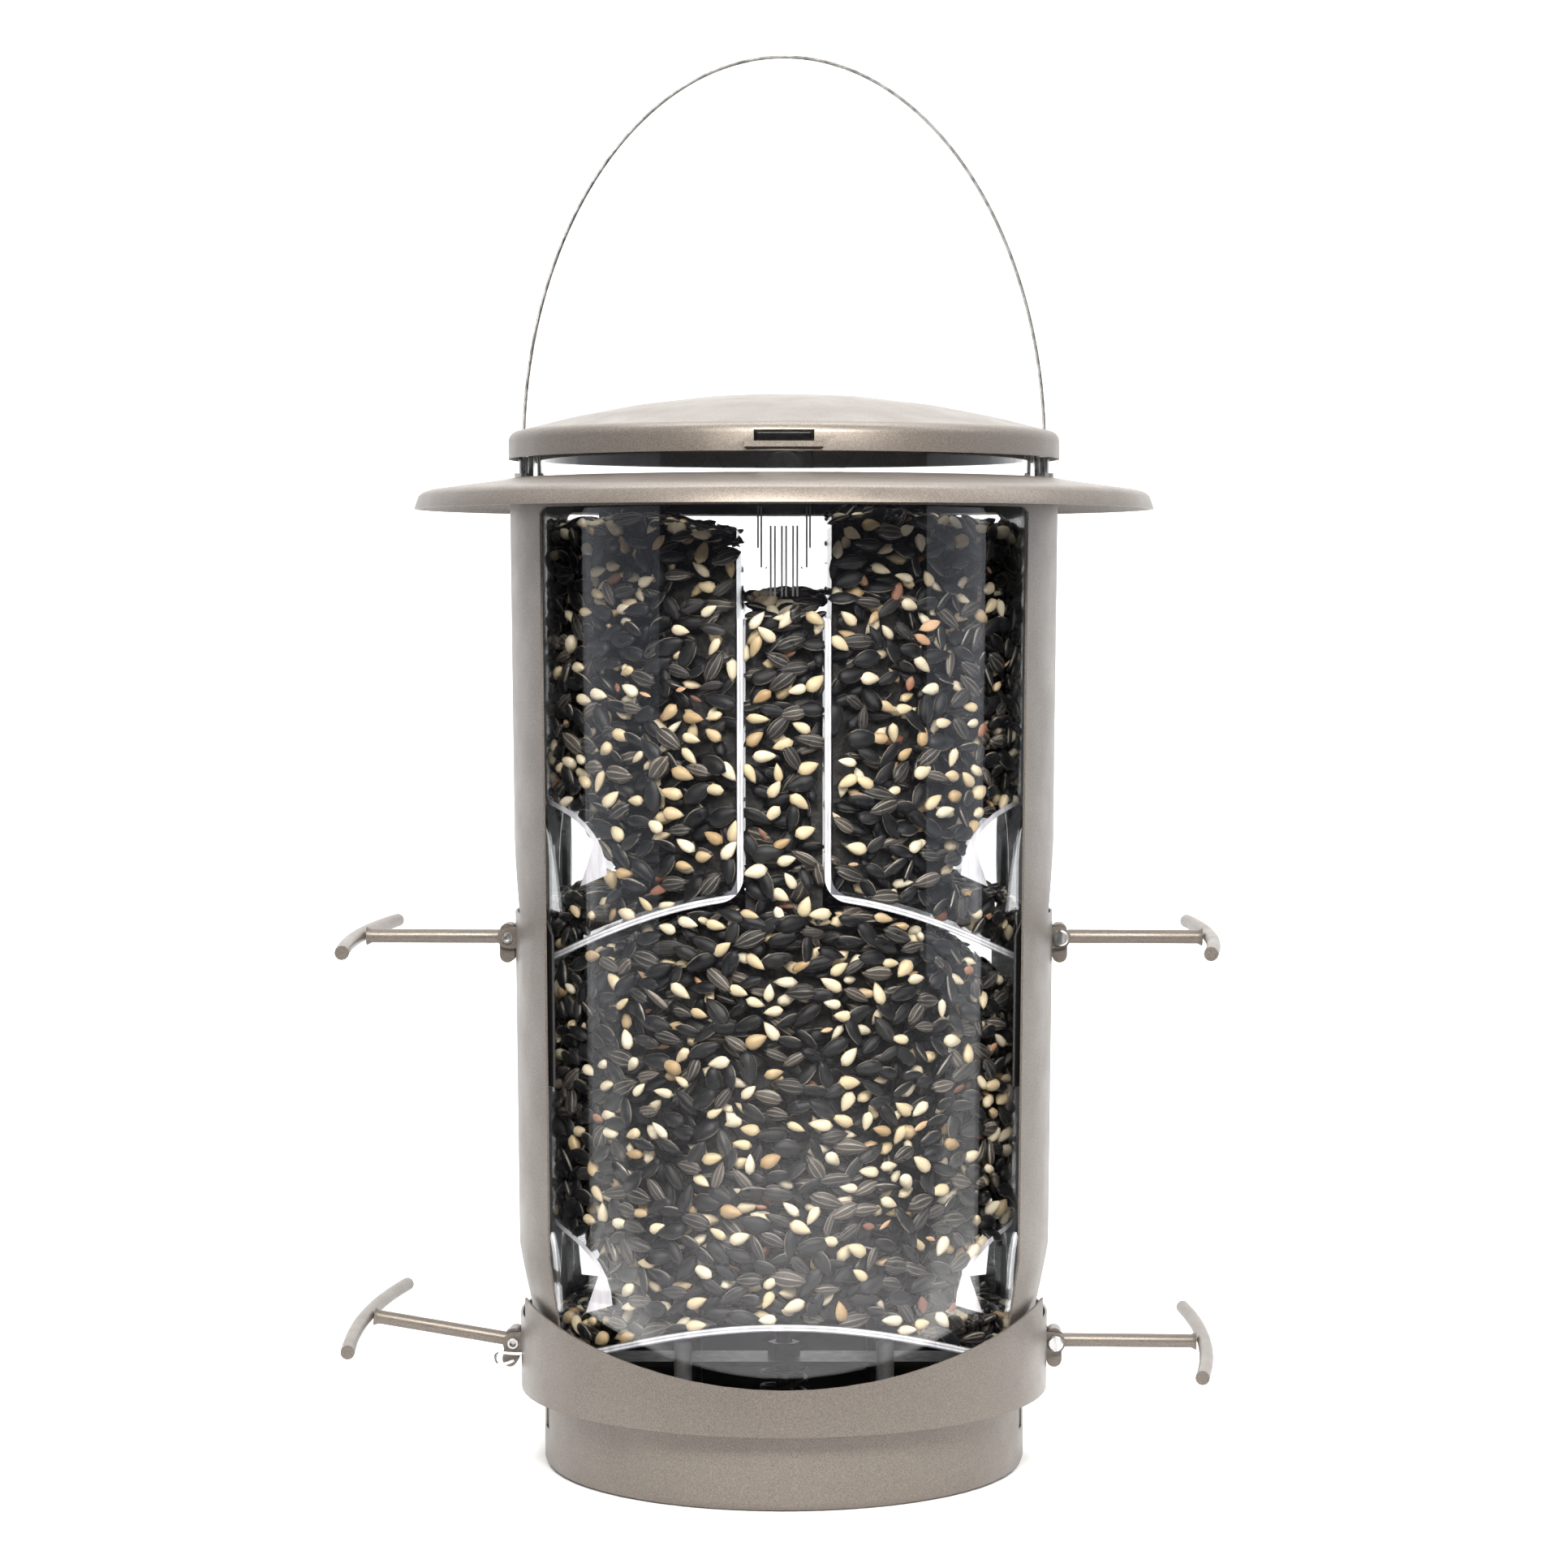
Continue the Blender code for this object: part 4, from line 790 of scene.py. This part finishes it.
def left_top(x, y):
    """Top of the left bay's seed, x from the axis: it dips beside the chute."""
    dip = max(0.0, 46.0 * MM - x) * 0.22
    out = max(0.0, x - 50.0 * MM) * 0.14
    return LEFT_TOP_Z - dip - out - 4.0 * MM * (y / GLASS_Y) ** 2


def right_top(x, y):
    out = max(0.0, x - 38.0 * MM) * 0.17
    return RIGHT_TOP_Z - out - 4.0 * MM * (y / GLASS_Y) ** 2


def chute_top(x, y):
    """Top of the seed in the chute, which falls towards the front glass."""
    front = max(0.0, -y / 0.083)
    return CHUTE_TOP_Z - 8.0 * MM * front**3 - 0.06 * abs(x)


def pile_left(x, y):
    """The lower pile on the left: close under the baffle inside, and falling at the glass."""
    face = PILE_LEFT_Z - 0.69 * max(0.0, x - 31.0 * MM)
    full = baffle(x) - CHUTE_WALL - 3.2 * MM
    near = min((abs(y) / GLASS_Y) ** 3, 1.0)
    return min(full, full + (face - full) * near)


def pile_right(x, y):
    face = PILE_RIGHT_Z - 0.49 * max(0.0, x - 36.0 * MM)
    full = baffle(x) - CHUTE_WALL - 2.5 * MM - 0.16 * max(0.0, x - 36.0 * MM)
    near = min((abs(y) / GLASS_Y) ** 3, 1.0)
    return min(full, full + (face - full) * near)


def pile(x, y):
    return pile_left(-x, y) if x < 0.0 else pile_right(x, y)


def filled(x, y, z):
    """True where there is seed: in the side bays, in the chute and in the lower chamber."""
    away = abs(x)
    if away < CHUTE_FACE - SEED_GAP and z > BAFFLE_TOP - 6.0 * MM:
        return z < chute_top(x, y)
    drop = 0.0
    if away > CHUTE_FACE + CHUTE_WALL + SEED_GAP and z > baffle(x) + SEED_GAP:
        top = left_top(away, y) if x < 0.0 else right_top(away, y)
        if z > top:
            return False
    else:
        drop = HOOD_DROP
        if z < floor_top(x) + SEED_GAP or z > pile(x, y):
            return False
        if z > baffle(x) - CHUTE_WALL - SEED_GAP:
            return False
    if away > HOOD_IN_X - SEED_GAP:
        low = under_hood(away, drop)
        if away < 71.0 * MM:
            low = min(low, 206.5 * MM - drop)
        if low < z < hood_crown(away, drop) + SEED_GAP:
            return False
    return True


# ------------------------------------------------------------------ seed


def seed_shape(sides, rings, point, flat):
    """A unit seed along X. A point under 1 puts its widest place nearer -X; flat is thickness / width."""
    verts = [(-0.5, 0.0, 0.0)]
    for i in range(rings):
        t = (i + 1) / (rings + 1)
        width = math.sin(math.pi * t**point) ** 0.8 * 0.5
        for j in range(sides):
            turn = 2.0 * math.pi * j / sides
            lens = abs(math.sin(turn)) ** 1.25 * math.copysign(1.0, math.sin(turn))
            verts.append((t - 0.5, width * math.cos(turn), width * flat * lens))
    verts.append((0.5, 0.0, 0.0))
    faces = []
    for j in range(sides):
        faces.append((0, 1 + (j + 1) % sides, 1 + j))
    for i in range(rings - 1):
        for j in range(sides):
            k = (j + 1) % sides
            low = 1 + i * sides
            faces.append((low + j, low + k, low + sides + k))
            faces.append((low + j, low + sides + k, low + sides + j))
    last = len(verts) - 1
    base = 1 + (rings - 1) * sides
    for j in range(sides):
        faces.append((base + j, base + (j + 1) % sides, last))
    return np.array(verts), np.array(faces)


def seed_turns(sides, rings):
    """UV of each vertex of seed_shape: across the seed in X, along it in Y."""
    turns = [(0.5, 0.0)]
    for i in range(rings):
        for j in range(sides):
            across = 0.5 + 0.5 * math.cos(2.0 * math.pi * j / sides)
            turns.append((across, (i + 1) / (rings + 1)))
    turns.append((0.5, 1.0))
    return np.array(turns, np.float32)


class SeedPile:
    """Seeds of a few kinds gathered into one mesh for each kind and place."""

    def __init__(self):
        self.rows = {"sunflower": [], "safflower": [], "chaff": []}

    def add(self, centre, axis, normal):
        pick = RNG.random()
        if pick < 0.69:
            kind = "sunflower"
            length = RNG.uniform(9.2, 13.2) * MM
            width = length * RNG.uniform(0.36, 0.54)
        elif pick < 0.965:
            kind = "safflower"
            length = RNG.uniform(6.4, 8.8) * MM
            width = length * RNG.uniform(0.46, 0.62)
        else:
            kind = "chaff"
            length = RNG.uniform(4.0, 9.0) * MM
            width = length * RNG.uniform(0.25, 0.6)
        across = normal.cross(axis).normalized()
        upright = axis.cross(across).normalized()
        matrix = np.array([axis * length, across * width, upright * width]).T
        self.rows[kind].append((matrix, np.array(centre), RNG.random()))

    def build(self, name, mats, fine):
        sides = 10 if fine else 6
        rings = 5 if fine else 3
        turns = seed_turns(sides, rings)
        for kind, rows in self.rows.items():
            if not rows:
                continue
            verts, faces = seed_shape(sides, rings, POINT[kind], FLATNESS[kind])
            count = len(verts)
            places = np.concatenate([verts @ m.T + c for m, c, _ in rows])
            every = np.concatenate([faces + i * count for i in range(len(rows))])
            obj = mesh_object(name + "_" + kind, places, every, mats[kind])
            mesh = obj.data
            tones = np.repeat([t for _, _, t in rows], count).astype(np.float32)
            mesh.attributes.new("tone", "FLOAT", "POINT").data.foreach_set("value", tones)
            uv = mesh.uv_layers.new(name="seed")
            index = np.array([loop.vertex_index for loop in mesh.loops]) % count
            uv.data.foreach_set("uv", turns[index].ravel())
            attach(obj, "hopper")


def scattered(width, height, gap, tries):
    """Dart throwing on a sheet that wraps round in its first direction, on a grid of cells."""
    cell = gap / math.sqrt(2.0)
    cols = int(math.ceil(width / cell))
    grid = {}
    points = []
    for u, v in RNG.random((tries, 2)) * (width, height):
        a = int(u / cell)
        b = int(v / cell)
        clear = True
        for i in range(a - 2, a + 3):
            for j in range(b - 2, b + 3):
                other = grid.get((i % cols, j))
                if other is None:
                    continue
                du = abs(other[0] - u)
                du = min(du, width - du)
                if du * du + (other[1] - v) ** 2 < gap * gap:
                    clear = False
        if clear:
            grid[(a, b)] = (u, v)
            points.append((u, v))
    return points


def place_seed(heap, centre, normal, tilt, reach):
    """Adds a seed once both its ends lie in seeded space, or gives up after a number of turns."""
    side = Vector((-normal.y, normal.x, 0.0)) if abs(normal.z) < 0.9 else Vector((1.0, 0.0, 0.0))
    up = normal.cross(side)
    for _ in range(14):
        turn = RNG.normal(0.0, 0.55) if RNG.random() < 0.85 else RNG.uniform(-1.6, 1.6)
        if RNG.random() < 0.5:
            turn += math.pi
        axis = side * math.cos(turn) + up * math.sin(turn)
        lean = RNG.normal(0.0, tilt)
        axis = (axis * math.cos(lean) + normal * math.sin(lean)).normalized()
        ends = (centre + axis * reach, centre - axis * reach)
        if all(filled(p.x, p.y, p.z) and math.hypot(p.x, p.y) < bore(p.z) - 0.5 * MM for p in ends):
            roll = RNG.normal(0.0, 0.2 + tilt)
            across = normal.cross(axis).normalized()
            face = (normal * math.cos(roll) + across * math.sin(roll)).normalized()
            heap.add(centre, axis, face)
            return


def wall_layer(heap, depth, gap, tilt, low, high):
    """Seeds lying against the tube's wall, or depth behind it, between two heights."""
    radius = bore((low + high) / 2.0) - depth
    around = 2.0 * math.pi * radius
    tries = int(around * (high - low) / (gap * gap) * 9)
    for u, v in scattered(around, high - low, gap, tries):
        angle = u / radius
        z = low + v
        normal = Vector((math.cos(angle), math.sin(angle), 0.0))
        centre = normal * (bore(z) - depth) + Vector((0.0, 0.0, z))
        if filled(centre.x, centre.y, z):
            place_seed(heap, centre, normal, tilt, 3.0 * MM)


def top_layer(heap, top, low_x, high_x, side, gap):
    """Seeds lying on a heap's free top surface, on the side of the sign given."""
    width = high_x - low_x
    step = 1.0 * MM
    for u, v in scattered(width, 2.0 * TUBE_R0, gap, int(width * 2.0 * TUBE_R0 / gap**2 * 9)):
        x = low_x + u
        y = v - TUBE_R0
        z = top(x, y) - 2.0 * MM
        if math.hypot(x, y) > bore(z) - 3.0 * MM:
            continue
        slope_x = (top(x + step, y) - top(x - step, y)) / (2.0 * step)
        slope_y = (top(x, y + step) - top(x, y - step)) / (2.0 * step)
        normal = Vector((-slope_x * side, -slope_y, 1.0)).normalized()
        centre = Vector((side * x, y, z))
        if filled(centre.x, centre.y, z - 1.0 * MM):
            place_seed(heap, centre, normal, 0.3, 2.6 * MM)


def core(name, columns, mat):
    """Painted shade in the middle of a heap: a dark closed loft of upright slices (x, low z, high z)."""
    rings = []
    for x, low, high in columns:
        deep = bore(low) - 8.0 * MM
        half = math.sqrt(max(deep * deep - x * x, (3.0 * MM) ** 2))
        rings.append([(x, -half, low), (x, half, low), (x, half, high), (x, -half, high)])
    verts, faces = tube_mesh(rings)
    obj = mesh_object(name, verts, faces, mat, smooth=False)
    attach(obj, "hopper")


def spread(low, high, count):
    return [low + (high - low) * i / (count - 1) for i in range(count)]


def seed_shade_cores(mat):
    edge = CHUTE_FACE + CHUTE_WALL + 0.5 * MM
    for side, tag, top in ((-1.0, "left", left_top), (1.0, "right", right_top)):
        inner = []
        for x in spread(edge, CORE_IN_X, 8):
            inner.append((side * x, baffle(x) + CORE_LIFT, top(x, 0.06) - CORE_SINK))
        core("seed_core_" + tag, inner, mat)
        above = []
        for x in spread(CORE_IN_X, CORE_OUT_X, 6):
            above.append((side * x, hood_crown(x, 0.0) + CORE_OVER_HOOD, top(x, 0.04) - CORE_SINK))
        core("seed_core_above_" + tag, above, mat)
        below = []
        for x in spread(CORE_IN_X, CORE_OUT_X, 5):
            below.append((side * x, baffle(x) + CORE_LIFT, 203.0 * MM))
        core("seed_core_below_" + tag, below, mat)
    half = CHUTE_FACE - 0.5 * MM
    column = [(x, 190.0 * MM, 300.0 * MM) for x in spread(-half, half, 4)]
    core("seed_core_chute", column, mat)
    lower = []
    for x in spread(-CORE_IN_X, CORE_IN_X, 13):
        lower.append((x, floor_top(x) + CORE_LIFT, min(pile(x, 0.05) - CORE_SINK, 196.0 * MM)))
    core("seed_core_lower", lower, mat)
    for side, tag in ((-1.0, "left"), (1.0, "right")):
        above = []
        for x in spread(CORE_IN_X, CORE_OUT_LOW_X, 5):
            low = hood_crown(x + 1.5 * MM, HOOD_DROP) + CORE_OVER_HOOD
            above.append((side * x, low, pile(side * x, 0.04) - CORE_SINK))
        core("seed_core_lower_above_" + tag, above, mat)


def seed_materials():
    black = (
        (0.0, (0.0022, 0.0022, 0.003)),
        (0.55, (0.0055, 0.006, 0.0072)),
        (0.85, (0.012, 0.0115, 0.0115)),
        (1.0, (0.042, 0.035, 0.030)),
    )
    cream = ((0.0, (0.22, 0.145, 0.07)), (0.22, (0.36, 0.29, 0.18)), (1.0, (0.46, 0.42, 0.33)))
    brown = ((0.0, (0.09, 0.035, 0.022)), (0.5, (0.22, 0.10, 0.06)), (1.0, (0.42, 0.30, 0.18)))
    return {
        "sunflower": seed_material(
            "sunflower_hull", black, (0.30, 0.27, 0.225), (0.22, 0.20, 0.17), 3.0, 0.36
        ),
        "safflower": seed_material(
            "safflower_hull", cream, (0.42, 0.33, 0.21), (0.48, 0.41, 0.30), 2.0, 0.38
        ),
        "chaff": seed_material(
            "seed_chaff", brown, (0.40, 0.28, 0.17), (0.30, 0.19, 0.11), 3.0, 0.6
        ),
    }


def shadow_material():
    """The near black of the gaps between seeds, for the cores."""
    mat, shader = principled("seed_shadow", (0.008, 0.008, 0.009), 0.9, 0.0)
    lumps = noise(mat, 220.0, 2.0)
    mapped_colour(mat, shader, lumps, (0.002, 0.002, 0.002), (0.018, 0.017, 0.016))
    bumped(mat, shader, lumps, 1.0, 0.003)
    return mat


def seed_fill():
    mats = seed_materials()
    halves = ((SEED_LOW_Z, SEED_MIDDLE_Z, "low"), (SEED_MIDDLE_Z, SEED_HIGH_Z, "high"))
    for depth, gap, tilt, fine, tag in (
        (2.3 * MM, 5.5 * MM, 0.16, True, "outer"),
        (5.6 * MM, 5.2 * MM, 0.35, False, "inner"),
    ):
        for start, end, level in halves:
            heap = SeedPile()
            wall_layer(heap, depth, gap, tilt, start, end)
            heap.build("seed_" + tag + "_" + level, mats, fine)
    heap = SeedPile()
    inner_x = CHUTE_FACE + CHUTE_WALL + 2.0 * MM
    top_layer(heap, left_top, inner_x, TUBE_R0, -1.0, TOP_GAP)
    top_layer(heap, right_top, inner_x, TUBE_R0, 1.0, TOP_GAP)
    top_layer(heap, chute_top, -CHUTE_FACE, CHUTE_FACE, 1.0, CHUTE_TOP_GAP)
    top_layer(heap, pile_left, inner_x, TUBE_R0, -1.0, TOP_GAP)
    top_layer(heap, pile_right, inner_x, TUBE_R0, 1.0, TOP_GAP)
    for drop in (0.0, HOOD_DROP):
        for side in (-1.0, 1.0):
            port_top = lambda x, y, fall=drop: under_hood(x, fall)
            top_layer(heap, port_top, HOOD_IN_X, TUBE_R0, side, TOP_GAP)
    heap.build("seed_tops", mats, True)
    # Dark cores of painted shade inside the heaps.
    seed_shade_cores(shadow_material())


# ------------------------------------------------------------------ finishes on CAD nodes


# The look of each CAD node whose name starts so. The others keep the look they were packed with.
LOOK_OF = (
    ("chute", "chute"),
    ("floor_arch", "floor"),
    ("port_hood", "hood"),
    ("latch", "latch"),
    ("backing_plate", "post"),
    ("floor_post", "post"),
    # lined: powder coat with near black painted shade on the faces that look inwards.
    ("shroud_tube", "lined"),
    ("collar", "lined"),
    ("base_cup", "lined"),
    ("lift_bridge", "dark"),
    ("guide_post", "dark"),
    ("stop_nut", "dark"),
)


def finish_cad():
    looks = {
        "paint": metallic_powder_coat("powder_coat", False),
        # The lined coat carries near black painted shade on its inward faces.
        "lined": metallic_powder_coat("powder_coat_with_painted_shade_inside", True),
        "dark": dark_steel(),
        "clear": clear_moulding("clear_polycarbonate", (0.97, 0.98, 0.99), 0.02),
        "latch": outlined_clear("clear_latch", (0.90, 0.90, 0.91), (0.05, 0.05, 0.055)),
        # The last number is the painted glow of each sheet's cut edges.
        "chute": clear_sheet("clear_chute", "chute", (0.46, 0.46, 0.49), (0.68, 0.68, 0.71), 0.15),
        "floor": clear_sheet("clear_floor", "floor", (0.42, 0.42, 0.45), (0.62, 0.62, 0.65), 0.13),
        "hood": clear_sheet("clear_hood", "", (0.40, 0.40, 0.43), (0.54, 0.53, 0.57), 0.16),
        "steel": zinc_steel(),
        "cable": cable_steel(),
        "post": black_plastic(),
    }
    for node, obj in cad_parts.items():
        look = obj.data.materials[0].name.split(".")[0] if obj.data.materials else "paint"
        for start, own_look in LOOK_OF:
            if node.startswith(start):
                look = own_look
        smooth_cad(node, looks.get(look, looks["paint"]))
    return looks


add_camera()
add_world()
add_studio()
add_floor()
looks = finish_cad()
wire_rope(looks["cable"])
spring_coil(looks["dark"])
seed_fill()
